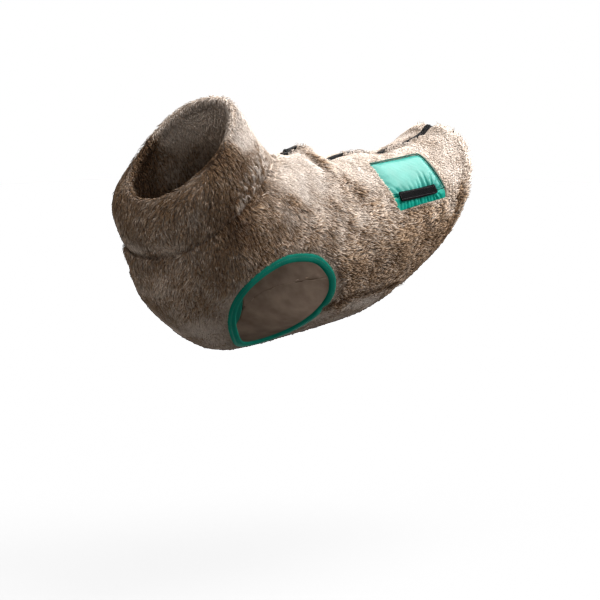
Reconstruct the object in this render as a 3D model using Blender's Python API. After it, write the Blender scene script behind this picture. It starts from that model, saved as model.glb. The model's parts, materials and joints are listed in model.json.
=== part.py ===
"""Dog winter coat: a worn, hollow coat of plush fleece, each cut piece its own closed solid.

World axes: +X is the dog's left, the head points to -Y, the tail to +Y, and +Z is up.
The origin lies on the inner face of the back, just behind the collar seam.
Sizes are in millimetres up to the last step, which makes metres of them.

The coat is drawn as a tube. A place on it is (around, along): around is the share of the way
round from the spine over the dog's left side, and along is the share of the way from the collar
seam to the hem. Each cut piece is an outline on that tube, filled with a lattice of points.
"""

import math

import bmesh
import bpy
import numpy as np
from mathutils.geometry import delaunay_2d_cdt

# ---------------------------------------------------------------- cloth and seams
WALL = 6.5  # fleece: 1 mm of knit ground under 5.5 mm of pile
HEM_WALL = 9.5  # the hem is turned in once
HEM_TURN = 0.06  # share of the body's length that the turned hem covers
COLLAR_WALL = 11.0  # two layers of fleece
COLLAR_RIM = 0.95  # share of the collar's height where its round rim begins
COLLAR_ROWS = 9
SEAM_GAP = 0.3  # clear distance between two sewn pieces
SEAM_DIP = 1.5  # the pile closes over a seam a little below its own height
SEAM_BLEND = 0.03  # share of the length over which the wall turns to meet the collar's
HEM_SHARES = (0.22, 0.78)  # shares of the wall's thickness where a rounded hem has points
RIM_SHARES = (0.12, 0.5, 0.88)  # the same for the collar's rim

# ---------------------------------------------------------------- spacing of the mesh points
LATTICE = 12.5  # inside a big piece and along its seams
FINE_LATTICE = 8.5  # the same for the pocket
LABEL_LATTICE = 6.0
ARMHOLE_SPACING = 10.0
ZIP_SPACING = 9.4
RING_SAMPLES = 60
EDGE_CLEAR = 0.5  # inner points keep this share of their spacing from every outline

# ---------------------------------------------------------------- the body as a tube
# Rings from the collar seam to the hem. back_* is the ring's point on the spine and belly_* the
# one under the belly; half is half its width; egg widens it at the back; swell pushes the
# flanks towards the tail.
BODY_RINGS = [
    # back_y, back_z, belly_y, belly_z, half, egg, swell
    (-21.0, 9.4, -223.0, -117.0, 83.0, -0.34, -8.5),
    (40.0, 8.5, -205.0, -175.5, 95.0, -0.17, -3.0),
    (96.0, 2.5, -139.0, -228.0, 99.0, -0.05, 1.0),
    (159.0, 4.0, -76.0, -236.5, 100.0, 0.01, 5.0),
    (213.0, 10.0, 21.0, -224.5, 97.5, 0.06, 10.0),
    (258.0, 23.0, 98.0, -214.0, 93.0, 0.14, 18.0),
    (284.5, 37.0, 140.5, -194.0, 88.0, 0.30, 29.0),
]
COLLAR_RINGS = [
    BODY_RINGS[0],
    (-52.0, 27.0, -235.0, -96.0, 87.5, -0.21, -3.5),
    (-80.0, 61.5, -243.0, -67.0, 87.0, -0.19, -3.5),
    (-111.0, 84.5, -232.0, -40.5, 72.5, 0.06, 3.0),
]
SQUARENESS = 0.92  # 1 is an ellipse, less is squarer in the shoulders
ROUND = 820.0  # a mean ring's length, for measuring across the tube
LENGTH = 390.0  # a mean length from the collar seam to the hem

# Folds of the body. Each runs straight from one place to another, places in degrees round from
# the spine and in share along. A height below 0 is a valley.
FOLDS = [
    # from_deg, from_along, to_deg, to_along, height, half_width
    (-12.0, 0.055, 12.0, 0.055, -3.2, 14.0),  # hollow where the slider lies
    (-8.0, 0.155, 8.0, 0.155, 6.5, 13.0),  # pucker of the zip behind it
    (6.0, 0.160, 43.0, 0.245, 4.0, 11.0),  # its ridge runs down over the left shoulder
    (-6.0, 0.160, -40.0, 0.240, 3.0, 12.0),
    (-9.0, 0.275, 9.0, 0.270, -8.5, 19.0),  # hollow behind that ridge
    (9.0, 0.270, 34.0, 0.330, -3.5, 14.0),
    (-10.0, 0.420, 10.0, 0.420, 3.5, 20.0),
    (-8.0, 0.555, 8.0, 0.555, -4.0, 16.0),
    (-10.0, 0.960, 10.0, 0.960, 3.0, 20.0),
    (112.0, 0.050, 142.0, 0.165, -2.5, 16.0),  # slack in front of each foreleg
    (-112.0, 0.050, -142.0, 0.165, -2.5, 16.0),
    (46.0, 0.330, 58.0, 0.400, -2.5, 14.0),
    (104.0, 0.620, 92.0, 0.760, -2.0, 16.0),
]

# Left armhole: the line where the fleece ends and the binding begins, clockwise seen from the
# left. The right armhole is its mirror image.
ARMHOLE = [
    # round_deg, along
    (91.9, 0.306),
    (92.7, 0.363),
    (99.3, 0.444),
    (108.3, 0.505),
    (119.8, 0.549),
    (136.9, 0.572),
    (153.7, 0.551),
    (162.6, 0.490),
    (161.5, 0.397),
    (151.0, 0.297),
    (143.1, 0.251),
    (134.0, 0.220),
    (121.2, 0.204),
    (107.6, 0.212),
    (97.5, 0.244),
]
FOLD_FADE = 0.04  # share of the length over which folds grow from the collar seam
ARMHOLE_REAR_SEAM = 5  # row where the belly seam starts
ARMHOLE_FRONT_SEAM = 9  # row where the chest seam starts
BELLY_SEAM = [
    # along, round_deg, from the armhole to the hem
    (0.62, 127.0),
    (0.72, 125.0),
    (0.85, 128.0),
    (1.00, 132.0),
]
CHEST_SEAM = [
    # along, round_deg, from the armhole to the collar seam
    (0.20, 150.0),
    (0.10, 146.0),
    (0.00, 144.0),
]

# ---------------------------------------------------------------- binding, zip, pocket
BINDING_WIDTH = 11.0
BINDING_DEPTH = 5.0
BINDING_SUNK = 1.2  # the pile stands this much over the binding

TAPE_HALF = 6.2
TAPE_THICKNESS = 1.2
TAPE_SUNK = 3.2  # the pile stands this much over the tape
COIL_HALF = 3.0
COIL_HEIGHT = 1.8
COIL_SLOPE = 0.5  # the coil's side leans this much
COIL_LEAST = 0.6  # least width of one tape's half of the coil
TAPE_PARTED = 2.0  # half the gap between the tapes ahead of the slider
TAPE_ALONG_START = 0.003
TAPE_ALONG_END = 0.985
TAPE_STATIONS = 44
COIL_MEETS = (0.077, 0.091)  # shares along between which the two halves close

SLIDER_ALONG = 0.083
SLIDER_REACH = 0.015  # the slider lies straight between places this share before and behind it
PLATE_LENGTH = 12.0
PLATE_HALF = 4.0
PLATE_THICKNESS = 1.3
PLATE_CLEAR = 0.5  # clear distance between a plate and the coil or tape
POST_HALF = 1.4
POST_LENGTH = 2.4
POST_SETBACK = 0.4  # from the plates' end at the collar
BRIDGE_HALF = 1.1
BRIDGE_REACH = 3.8
BRIDGE_BAR = 1.2
CAST_OVERLAP = 0.5  # the shapes of one casting run into each other by this much
EYE_HEIGHT = 1.35  # the tab's eye turns this high over the upper plate
EYE_RADIUS = 0.75
EYE_INSET = 0.4
TAB_HALF = 3.0
TAB_ARM = 1.3
TAB_WINDOW = 7.0
TAB_LENGTH = 22.0
TAB_THICKNESS = 1.5
TAB_END_SIDES = 6
TAB_TILT = 3.0  # degrees: the pucker behind the slider lifts the resting tab

POCKET_TOP = [
    # round_deg, along: the pocket's upper edge, from the front to the rear corner
    (24.0, 0.424),
    (21.5, 0.545),
    (21.5, 0.672),
    (25.5, 0.698),
    (32.5, 0.714),
]
POCKET_REAR = [
    (40.5, 0.734),
    (47.5, 0.757),
    (55.5, 0.790),
]
POCKET_SEAM_FRONT = (54.0, 0.524)
POCKET_SEAM_REAR = (58.5, 0.802)
POCKET_BOTTOM = [
    (65.5, 0.825),
    (65.0, 0.690),
    (66.5, 0.585),
]
POCKET_FRONT = [
    (38.5, 0.457),
]
POCKET_SUNK = 4.3  # the pile is pressed down this much under the pocket
POCKET_THICKNESS = 2.8
POCKET_MARGIN = 1.2  # width of the step in the pile round the pocket
EDGE_WIDTH = 2.6
EDGE_RISE = 1.0
EDGE_SLOPE = 0.4
POCKET_PUFF = 1.2  # the satin stands this much higher in its middle
POCKET_PUFF_RUN = 14.0  # distance from an edge at which it reaches that
LABEL_PLACE = (56.8, 0.654)  # round_deg, along
LABEL_LENGTH = 71.0
LABEL_WIDTH = 13.0
LABEL_THICKNESS = 1.1
LABEL_CORNER = 2.5
LABEL_CORNER_SIDES = 3
LABEL_LONG_SIDES = 5

MATERIALS = {
    # name: colour, roughness, metallic
    "fleece": ((0.36, 0.27, 0.20), 0.95, 0.0),
    "binding": ((0.00, 0.19, 0.12), 0.80, 0.0),
    "zip": ((0.012, 0.012, 0.014), 0.60, 0.0),
    "slider": ((0.02, 0.02, 0.022), 0.35, 0.6),
    "satin": ((0.10, 0.72, 0.52), 0.40, 0.0),
    "pocket_edge": ((0.00, 0.16, 0.11), 0.70, 0.0),
    "label": ((0.012, 0.011, 0.014), 0.50, 0.0),
}


# ---------------------------------------------------------------- curves through table rows
def natural_spline(stations, rows, at):
    """Values between the rows of a table, on a natural cubic spline."""
    stations = np.asarray(stations, float)
    rows = np.asarray(rows, float)
    at = np.asarray(at, float)
    count = len(stations)
    step = np.diff(stations)
    left = np.eye(count)
    right = np.zeros((count, rows.shape[1]))
    for i in range(1, count - 1):
        left[i, i - 1 : i + 2] = step[i - 1], 2 * (step[i - 1] + step[i]), step[i]
        slope = (rows[i + 1] - rows[i]) / step[i] - (rows[i] - rows[i - 1]) / step[i - 1]
        right[i] = 6 * slope
    bend = np.linalg.solve(left, right)
    k = np.clip(np.searchsorted(stations, at, side="right") - 1, 0, count - 2)
    a = ((stations[k + 1] - at) / step[k])[..., None]
    b = ((at - stations[k]) / step[k])[..., None]
    cubic = ((a**3 - a) * bend[k] + (b**3 - b) * bend[k + 1]) * step[k][..., None] ** 2 / 6
    return a * rows[k] + b * rows[k + 1] + cubic


def curve(rows, closed=False, per_row=14):
    """A smooth line through table rows, as Catmull-Rom points."""
    rows = np.asarray(rows, float)
    if closed:
        rows = np.vstack([rows[-1], rows, rows[:2]])
    else:
        rows = np.vstack([2 * rows[0] - rows[1], rows, 2 * rows[-1] - rows[-2]])
    t = np.arange(per_row)[:, None] / per_row
    points = []
    for p0, p1, p2, p3 in zip(rows, rows[1:], rows[2:], rows[3:]):
        even = 2 * p1 + (p2 - p0) * t + (2 * p0 - 5 * p1 + 4 * p2 - p3) * t**2
        points.append((even + (3 * p1 - p0 - 3 * p2 + p3) * t**3) / 2)
    if not closed:
        points.append(rows[-2][None])
    return np.vstack(points)


# ---------------------------------------------------------------- surfaces
def tube(rings, around, along):
    """Points of the smooth tube through a table of rings."""
    row = natural_spline(np.linspace(0, 1, len(rings)), rings, along)
    angle = 2 * math.pi * np.asarray(around, float)
    cos, sin = np.cos(angle), np.sin(angle)
    back, belly = row[..., 0:2], row[..., 2:4]
    half, egg, swell = row[..., 4], row[..., 5], row[..., 6]
    arm = (back - belly) / 2
    tailward = np.stack([arm[..., 1], -arm[..., 0]], -1)
    tailward /= np.linalg.norm(tailward, axis=-1, keepdims=True)
    yz = (back + belly) / 2 + arm * cos[..., None] + tailward * (swell * sin**2)[..., None]
    x = half * np.sign(sin) * np.abs(sin) ** SQUARENESS * (1 + egg * cos)
    return np.concatenate([x[..., None], yz], -1)


def normal(surface, around, along, step=1e-4):
    """Unit normals of a surface, and its two directions, by central differences."""
    across = surface(around + step, along) - surface(around - step, along)
    down = surface(around, along + step) - surface(around, along - step)
    outward = np.cross(across, down)
    return outward / np.linalg.norm(outward, axis=-1, keepdims=True)


def smooth_body(around, along):
    return tube(BODY_RINGS, around, along)


def collar(around, along):
    return tube(COLLAR_RINGS, around, along)


def fold_height(around, along):
    """Height of the folds over the smooth body, in mm. They fade out at the collar seam."""
    wrapped = (np.asarray(around, float) + 0.5) % 1 - 0.5
    place = np.stack([wrapped * ROUND, np.asarray(along, float) * LENGTH], -1)
    height = np.zeros(place.shape[:-1])
    for from_deg, from_along, to_deg, to_along, rise, half_width in FOLDS:
        start = np.array([from_deg / 360 * ROUND, from_along * LENGTH])
        run = np.array([to_deg / 360 * ROUND, to_along * LENGTH]) - start
        share = np.clip((place - start) @ run / (run @ run), 0, 1)
        away = np.linalg.norm(place - start - share[..., None] * run, axis=-1)
        height += rise * np.exp(-((away / half_width) ** 2))
    fade = np.clip(along / FOLD_FADE, 0, 1)
    return height * fade**2 * (3 - 2 * fade)


def body(around, along):
    """Outer surface of the body, with its folds."""
    base = smooth_body(around, along)
    lift = fold_height(around, along)[..., None]
    return base + normal(smooth_body, around, along) * lift


def body_normal(around, along):
    """Wall direction of the body. At the collar seam it halves the angle with the collar."""
    own = normal(body, around, along, 5e-4)
    joined = own - normal(collar, around, np.zeros_like(along))
    joined /= np.linalg.norm(joined, axis=-1, keepdims=True)
    share = np.clip(1 - along / SEAM_BLEND, 0, 1)[..., None]
    mixed = own * (1 - share) + joined * share
    return mixed / np.linalg.norm(mixed, axis=-1, keepdims=True)


def around_at(offset, along):
    """The place beside the spine that lies offset mm to the left, for each share along."""
    row = natural_spline(np.linspace(0, 1, len(BODY_RINGS)), BODY_RINGS, along)
    share = np.abs(offset) / (row[..., 4] * (1 + row[..., 5]))
    return np.sign(offset) * np.arcsin(share ** (1 / SQUARENESS)) / (2 * math.pi)


# ---------------------------------------------------------------- meshes
def material(name):
    made = bpy.data.materials.get(name) or bpy.data.materials.new(name)
    colour, roughness, metallic = MATERIALS[name]
    made.use_nodes = True
    shader = made.node_tree.nodes["Principled BSDF"]
    shader.inputs["Base Color"].default_value = (*colour, 1)
    shader.inputs["Roughness"].default_value = roughness
    shader.inputs["Metallic"].default_value = metallic
    made.diffuse_color = (*colour, 1)
    return made


def add_object(name, points, faces, look):
    """A mesh object of points in mm."""
    mesh = bpy.data.meshes.new(name)
    mesh.from_pydata((np.asarray(points) / 1000).tolist(), [], faces)
    mesh.materials.append(material(look))
    mesh.validate()
    turned = bmesh.new()
    turned.from_mesh(mesh)
    bmesh.ops.recalc_face_normals(turned, faces=turned.faces)
    turned.to_mesh(mesh)
    turned.free()
    made = bpy.data.objects.new(name, mesh)
    bpy.context.scene.collection.objects.link(made)
    return made


def resample(places, spacing, surface=body):
    """Places about spacing mm apart along a line on the surface, both ends kept."""
    points = surface(places[:, 0], places[:, 1])
    run = np.concatenate([[0], np.cumsum(np.linalg.norm(np.diff(points, axis=0), axis=1))])
    count = max(1, round(run[-1] / spacing))
    at = np.linspace(0, run[-1], count + 1)
    return np.stack([np.interp(at, run, places[:, k]) for k in (0, 1)], 1)


def inside(points, loop):
    """True for each flat point inside a flat loop."""
    x, y = points[:, 0:1], points[:, 1:2]
    x0, y0 = loop[:, 0], loop[:, 1]
    x1, y1 = np.roll(x0, -1), np.roll(y0, -1)
    rise = np.where(y1 == y0, 1e-12, y1 - y0)
    crossed = ((y0 > y) != (y1 > y)) & (x < x0 + (y - y0) * (x1 - x0) / rise)
    return crossed.sum(1) % 2 == 1


def edge_distance(points, loop):
    """Distance of each flat point from a flat loop."""
    start, end = loop, np.roll(loop, -1, axis=0)
    run = end - start
    share = np.einsum("pek,ek->pe", points[:, None] - start, run) / (run**2).sum(1)
    near = start + np.clip(share, 0, 1)[..., None] * run
    return np.linalg.norm(points[:, None] - near, axis=-1).min(1)


def lattice(loop, spacing):
    """Points of an even triangular lattice inside a flat loop, clear of its edge."""
    low, high = loop.min(0), loop.max(0)
    rows = np.arange(low[1], high[1], spacing * math.sqrt(3) / 2)
    across = np.arange(low[0], high[0] + spacing, spacing)
    points = []
    for i, y in enumerate(rows):
        shifted = across + spacing / 2 * (i % 2)
        points.append(np.stack([shifted, np.full(len(shifted), y)], 1))
    points = np.vstack(points)
    points = points[inside(points, loop)]
    return points[edge_distance(points, loop) > spacing * EDGE_CLEAR]


def flat(places):
    return places * (ROUND, LENGTH)


def hem_direction(places, outward):
    """Unit vectors along the cloth and square to the ring through each place, to the tail."""
    step = np.array([5e-4, 0])
    ring = body(*(places + step).T) - body(*(places - step).T)
    out = np.cross(outward, ring)
    return out / np.linalg.norm(out, axis=1, keepdims=True)


def loop_edges(start, count):
    return [(start + i, start + (i + 1) % count) for i in range(count)]


def panel(name, loop, hems, top, bottom, look, spacing=LATTICE, gap=SEAM_GAP, cut=None):
    """A closed solid over an outline on the body.

    loop runs counter-clockwise seen from outside; hems marks the points of a turned, rounded
    edge; top and bottom give the heights of the two faces over the body at some places; cut
    holds the outlines and points of a piece that is let into this one, and its depth.
    """
    count = len(loop)
    places = loop
    edges = loop_edges(0, count)
    sunk = np.zeros(count)
    inner = lattice(flat(loop), spacing)
    if cut is not None:
        step_loop, floor_loop, floor_points, depth = cut
        edges += loop_edges(count, len(step_loop))
        edges += loop_edges(count + len(step_loop), len(floor_loop))
        places = np.vstack([places, step_loop, floor_loop, floor_points])
        sunk = np.zeros(len(places))
        sunk[count + len(step_loop) :] = depth
        clear = edge_distance(inner, flat(step_loop)) > spacing * EDGE_CLEAR
        inner = inner[clear & ~inside(inner, flat(step_loop))]
    places = np.vstack([places, inner / (ROUND, LENGTH)])
    sunk = np.concatenate([sunk, np.zeros(len(inner))])
    seen, _, triangles, source, _, _ = delaunay_2d_cdt(
        [tuple(p) for p in flat(places)], edges, [], 1, 1e-6
    )
    order = [found[0] for found in source]
    assert len(seen) == len(places) == len(set(order)), name
    triangles = np.array([[order[k] for k in face] for face in triangles])
    points = body(places[:, 0], places[:, 1])
    outward = body_normal(places[:, 0], places[:, 1])
    upper = top(places)
    upper -= sunk
    lower = bottom(places)
    upper[:count] -= np.where(hems, 0.0, SEAM_DIP if gap else 0.0)
    run = np.roll(points[:count], -1, axis=0) - points[:count]
    run /= np.linalg.norm(run, axis=1, keepdims=True)
    edge_in = np.cross(outward[:count], run)
    hem_edge = (hems & np.roll(hems, -1))[:, None]
    from_seams = np.where(hem_edge, 0.0, edge_in)
    points[:count] += (from_seams + np.roll(from_seams, 1, axis=0)) * gap / 2
    edge_out = hem_direction(loop, outward[:count]) * hems[:, None]
    outer = points + outward * upper[:, None]
    under = points + outward * lower[:, None]
    # A turned hem is a round edge between the two faces. A seam's wall stays flat.
    thick = upper[:count] - lower[:count]
    rows = [np.arange(count)]
    made = [outer, under]
    total = 2 * len(points)
    for share in HEM_SHARES if hems.any() else ():
        reach = thick * math.sqrt(share * (1 - share))
        height = upper[:count] - share * thick
        made.append(points[:count] + outward[:count] * height[:, None] + edge_out * reach[:, None])
        rows.append(total + np.arange(count))
        total += count
    rows.append(len(points) + np.arange(count))
    faces = [tuple(face) for face in triangles]
    faces += [tuple(face[::-1] + len(points)) for face in triangles]
    rank = seam_rank(loop)
    for upper_row, lower_row in zip(rows, rows[1:]):
        for i in range(count):
            j = (i + 1) % count
            if rank[i] < rank[j]:
                faces.append((upper_row[i], lower_row[i], lower_row[j]))
                faces.append((upper_row[i], lower_row[j], upper_row[j]))
            else:
                faces.append((upper_row[j], upper_row[i], lower_row[i]))
                faces.append((upper_row[j], lower_row[i], lower_row[j]))
    return add_object(name, np.vstack(made), [tuple(int(k) for k in f) for f in faces], look)


def seam_rank(places):
    """A value for each place on a seam. Two pieces that share the seam split its wall by it."""
    return 10 * places[:, 1] + np.cos(2 * math.pi * places[:, 0])


def sweep(name, sections, look, closed, rank=None):
    """A closed solid through equal sections. A closed sweep comes back to its first one."""
    stations, around = sections.shape[:2]
    faces = []
    for i in range(stations if closed else stations - 1):
        j = (i + 1) % stations
        here, there = i * around, j * around
        for k in range(around):
            n = (k + 1) % around
            if rank is None:
                faces.append((here + k, here + n, there + n, there + k))
            elif rank[i] < rank[j]:
                faces.append((here + k, here + n, there + k))
                faces.append((here + n, there + n, there + k))
            else:
                faces.append((here + k, here + n, there + n))
                faces.append((here + k, there + n, there + k))
    if not closed:
        faces.append(tuple(range(around))[::-1])
        faces.append(tuple((stations - 1) * around + k for k in range(around)))
    return add_object(name, sections.reshape(-1, 3), faces, look)


# ---------------------------------------------------------------- shared lines
def armhole_lines():
    """The left armhole's places, split at its two seams: the upper part and the lower part."""
    degrees = curve(ARMHOLE, closed=True)
    places = degrees / (360, 1)
    per_row = len(places) // len(ARMHOLE)
    rear = ARMHOLE_REAR_SEAM * per_row
    front = ARMHOLE_FRONT_SEAM * per_row
    lower = places[rear : front + 1]
    upper = np.vstack([places[front:], places[: rear + 1]])
    return resample(upper, ARMHOLE_SPACING), resample(lower, ARMHOLE_SPACING)


def mirrored(places):
    """The same loop on the right half, run the other way."""
    return (places * (-1, 1))[::-1]


def seam_from(start, rows):
    """A seam from a place on the armhole through a table of (along, degrees)."""
    points = np.array([(degrees / 360, along) for along, degrees in rows])
    return resample(curve(np.vstack([start, points])), LATTICE)


def ring_part(from_around, to_around, along):
    share = np.linspace(from_around, to_around, RING_SAMPLES)
    return resample(np.stack([share, np.full(RING_SAMPLES, along)], 1), LATTICE)


def zip_edge():
    """The left fleece edge along the zip, from the collar seam to the hem."""
    along = np.linspace(0, 1, RING_SAMPLES)
    offset = TAPE_HALF + SEAM_GAP
    return resample(np.stack([around_at(offset, along), along], 1), ZIP_SPACING)


ARM_UPPER, ARM_LOWER = armhole_lines()
BELLY_LINE = seam_from(ARM_LOWER[0], BELLY_SEAM)
CHEST_LINE = seam_from(ARM_LOWER[-1], CHEST_SEAM)
ZIP_EDGE = zip_edge()
NECK_SIDE = ring_part(ZIP_EDGE[0, 0], CHEST_LINE[-1, 0], 0.0)
NECK_CHEST = ring_part(CHEST_LINE[-1, 0], 1 - CHEST_LINE[-1, 0], 0.0)
HEM_SIDE = ring_part(ZIP_EDGE[-1, 0], BELLY_LINE[-1, 0], 1.0)
HEM_CHEST = ring_part(BELLY_LINE[-1, 0], 1 - BELLY_LINE[-1, 0], 1.0)


def counter_clockwise(loop):
    """The loop of places, turned so that it runs counter-clockwise seen from outside."""
    x, y = flat(loop).T
    area = np.sum(x * np.roll(y, -1) - np.roll(x, -1) * y)
    return loop if area > 0 else loop[::-1]


def outline(*lines):
    """One counter-clockwise loop from lines that each end where the next begins."""
    return counter_clockwise(np.vstack([line[:-1] for line in lines]))


def fleece_top(places):
    return np.zeros(len(places))


def fleece_bottom(places):
    turn = np.clip((places[:, 1] - 1 + HEM_TURN) / HEM_TURN, 0, 1)
    return -WALL - (HEM_WALL - WALL) * turn**2 * (3 - 2 * turn)


def on_hem(loop):
    return loop[:, 1] > 1 - 1e-6


# ---------------------------------------------------------------- pocket
def degrees(rows):
    return np.array(rows, float) / (360, 1)


def pocket_lines():
    """The pocket's outlines on the body: its panel, its band, both together, its bound edge."""
    top = resample(curve(degrees(POCKET_TOP)), FINE_LATTICE)
    rear_rows = [POCKET_TOP[-1], *POCKET_REAR, POCKET_SEAM_REAR]
    rear = resample(curve(degrees(rear_rows)), FINE_LATTICE)
    front_rows = [POCKET_SEAM_FRONT, *POCKET_FRONT, POCKET_TOP[0]]
    front = resample(curve(degrees(front_rows)), FINE_LATTICE)
    seam = resample(degrees([POCKET_SEAM_REAR, POCKET_SEAM_FRONT]), FINE_LATTICE)
    band_rear = resample(degrees([POCKET_SEAM_REAR, POCKET_BOTTOM[0]]), FINE_LATTICE)
    bottom = resample(curve(degrees(POCKET_BOTTOM)), FINE_LATTICE)
    band_front = resample(degrees([POCKET_BOTTOM[-1], POCKET_SEAM_FRONT]), FINE_LATTICE)
    upper = outline(seam, front, top, rear)
    lower = outline(seam[::-1], band_rear, bottom, band_front)
    whole = outline(front, top, rear, band_rear, bottom, band_front)
    return upper, lower, whole, np.vstack([top[:-1], rear])


def grown(loop, by):
    """A counter-clockwise loop of places, moved outward by mm."""
    points = flat(loop)
    run = np.roll(points, -1, axis=0) - points
    run /= np.linalg.norm(run, axis=1, keepdims=True)
    out = np.stack([run[:, 1], -run[:, 0]], 1)
    out = out + np.roll(out, 1, axis=0)
    out /= np.linalg.norm(out, axis=1, keepdims=True)
    return (points + out * by) / (ROUND, LENGTH)


POCKET_UPPER, POCKET_LOWER, POCKET_WHOLE, POCKET_BOUND = pocket_lines()


def pocket_top(places):
    """Height of the satin over the body: flat at the pocket's edges, fuller in the middle."""
    edge = edge_distance(flat(places), flat(POCKET_WHOLE))
    share = np.clip(edge / POCKET_PUFF_RUN, 0, 1)
    base = -POCKET_SUNK + SEAM_GAP + POCKET_THICKNESS
    return base + POCKET_PUFF * share**2 * (3 - 2 * share)


def pocket_bottom(places):
    return np.full(len(places), -POCKET_SUNK + SEAM_GAP)


def label_bottom(places):
    return pocket_top(places) + SEAM_GAP


def label_top(places):
    return label_bottom(places) + LABEL_THICKNESS


def label_loop():
    """The label's outline: a rectangle with round corners, laid flat on the pocket."""
    centre = degrees([LABEL_PLACE])[0]
    step = 1e-3
    across = body(centre[0] + step, centre[1]) - body(centre[0] - step, centre[1])
    down = body(centre[0], centre[1] + step) - body(centre[0], centre[1] - step)
    long_way = down / np.linalg.norm(down)
    short_way = np.cross(np.cross(long_way, across), long_way)
    short_way /= np.linalg.norm(short_way)
    basis = np.array([[across @ long_way, down @ long_way], [across @ short_way, down @ short_way]])
    to_places = np.linalg.inv(basis / (2 * step))
    outline_mm = []
    half = np.array([LABEL_LENGTH / 2, LABEL_WIDTH / 2]) - LABEL_CORNER
    for turn, (sx, sy) in enumerate([(1, 1), (-1, 1), (-1, -1), (1, -1)]):
        for k in range(LABEL_CORNER_SIDES + 1):
            angle = math.pi / 2 * (turn + k / LABEL_CORNER_SIDES)
            corner = LABEL_CORNER * np.array([math.cos(angle), math.sin(angle)])
            outline_mm.append(half * (sx, sy) + corner)
        # The long sides get points of their own, so that the label can follow the body.
        if turn % 2 == 0:
            start = outline_mm[-1]
            end = half * (-sx, sy) + (0, sy * LABEL_CORNER)
            shares = np.arange(1, LABEL_LONG_SIDES) / LABEL_LONG_SIDES
            outline_mm += [start + (end - start) * share for share in shares]
    return counter_clockwise(centre + np.array(outline_mm) @ to_places.T)


# ---------------------------------------------------------------- the pieces
def build_body():
    side = outline(
        ZIP_EDGE, HEM_SIDE, BELLY_LINE[::-1], ARM_UPPER[::-1], CHEST_LINE, NECK_SIDE[::-1]
    )
    step_loop = grown(POCKET_WHOLE, POCKET_MARGIN)
    points = lattice(flat(POCKET_UPPER), FINE_LATTICE)
    points = np.vstack([points, lattice(flat(POCKET_LOWER), FINE_LATTICE)])
    let_in = (step_loop, POCKET_WHOLE, points / (ROUND, LENGTH), POCKET_SUNK)
    panel("body_left", side, on_hem(side), fleece_top, fleece_bottom, "fleece", cut=let_in)
    other = mirrored(side)
    panel("body_right", other, on_hem(other), fleece_top, fleece_bottom, "fleece")


def across_belly(line):
    """The same line on the right half of the chest panel, run the other way."""
    return (line * (-1, 1) + (1, 0))[::-1]


def build_chest():
    left = np.vstack([HEM_CHEST[:1], BELLY_LINE[::-1][1:-1], ARM_LOWER[:-1], CHEST_LINE])
    loop = outline(left, NECK_CHEST, across_belly(left), HEM_CHEST[::-1])
    panel("chest", loop, on_hem(loop), fleece_top, fleece_bottom, "fleece")


def build_collar():
    """A tube of doubled fleece from the collar seam to a round, turned-over rim."""
    half = np.concatenate([NECK_SIDE[:, 0], NECK_CHEST[1:-1, 0]])
    others = 1 - NECK_SIDE[::-1, 0]
    around = np.concatenate([[0.0], half, others])
    rises = np.linspace(0, COLLAR_RIM, COLLAR_ROWS)
    grid_around, grid_rise = np.meshgrid(around, rises, indexing="ij")
    outer = collar(grid_around, grid_rise)
    outward = -normal(collar, grid_around, grid_rise)
    outward[:, 0] = body_normal(around, np.zeros(len(around)))
    under = outer - outward * COLLAR_WALL
    under[:, 0] = outer[:, 0] - outward[:, 0] * WALL
    outer[:, 0] -= outward[:, 0] * SEAM_DIP
    up = outer[:, -1] - outer[:, -2]
    up /= np.linalg.norm(up, axis=1, keepdims=True)
    rim = []
    for share in RIM_SHARES:
        reach = COLLAR_WALL * math.sqrt(share * (1 - share))
        rim.append(outer[:, -1] - outward[:, -1] * COLLAR_WALL * share + up * reach)
    places = np.stack([around, np.zeros(len(around))], 1)
    to_hem = hem_direction(places, outward[:, 0])
    outer[:, 0] -= to_hem * SEAM_GAP / 2
    under[:, 0] -= to_hem * SEAM_GAP / 2
    sections = np.concatenate([outer, np.stack(rim, 1), under[:, ::-1]], axis=1)
    sweep("collar", sections, "fleece", closed=True, rank=seam_rank(places))


def build_bindings():
    """A knit strip folded over the edge of each armhole."""
    profile = [
        # reach into the opening, depth under the pile
        (SEAM_GAP / 2, 0.0),
        (BINDING_WIDTH * 0.6, -0.2),
        (BINDING_WIDTH * 0.9, 0.6),
        (BINDING_WIDTH, 2.0),
        (BINDING_WIDTH, BINDING_DEPTH - 2.0),
        (BINDING_WIDTH * 0.9, BINDING_DEPTH - 0.6),
        (BINDING_WIDTH * 0.6, BINDING_DEPTH + 0.2),
        (SEAM_GAP / 2, BINDING_DEPTH),
    ]
    left = counter_clockwise(np.vstack([ARM_UPPER[:-1], ARM_LOWER[:-1]]))
    for name, ring in (("binding_left", left), ("binding_right", mirrored(left))):
        points = body(ring[:, 0], ring[:, 1])
        outward = body_normal(ring[:, 0], ring[:, 1])
        run = np.roll(points, -1, axis=0) - np.roll(points, 1, axis=0)
        run /= np.linalg.norm(run, axis=1, keepdims=True)
        inward = np.cross(outward, run)
        sections = [
            points + inward * reach - outward * (BINDING_SUNK + depth) for reach, depth in profile
        ]
        sweep(name, np.stack(sections, axis=1), "binding", closed=True)


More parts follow.
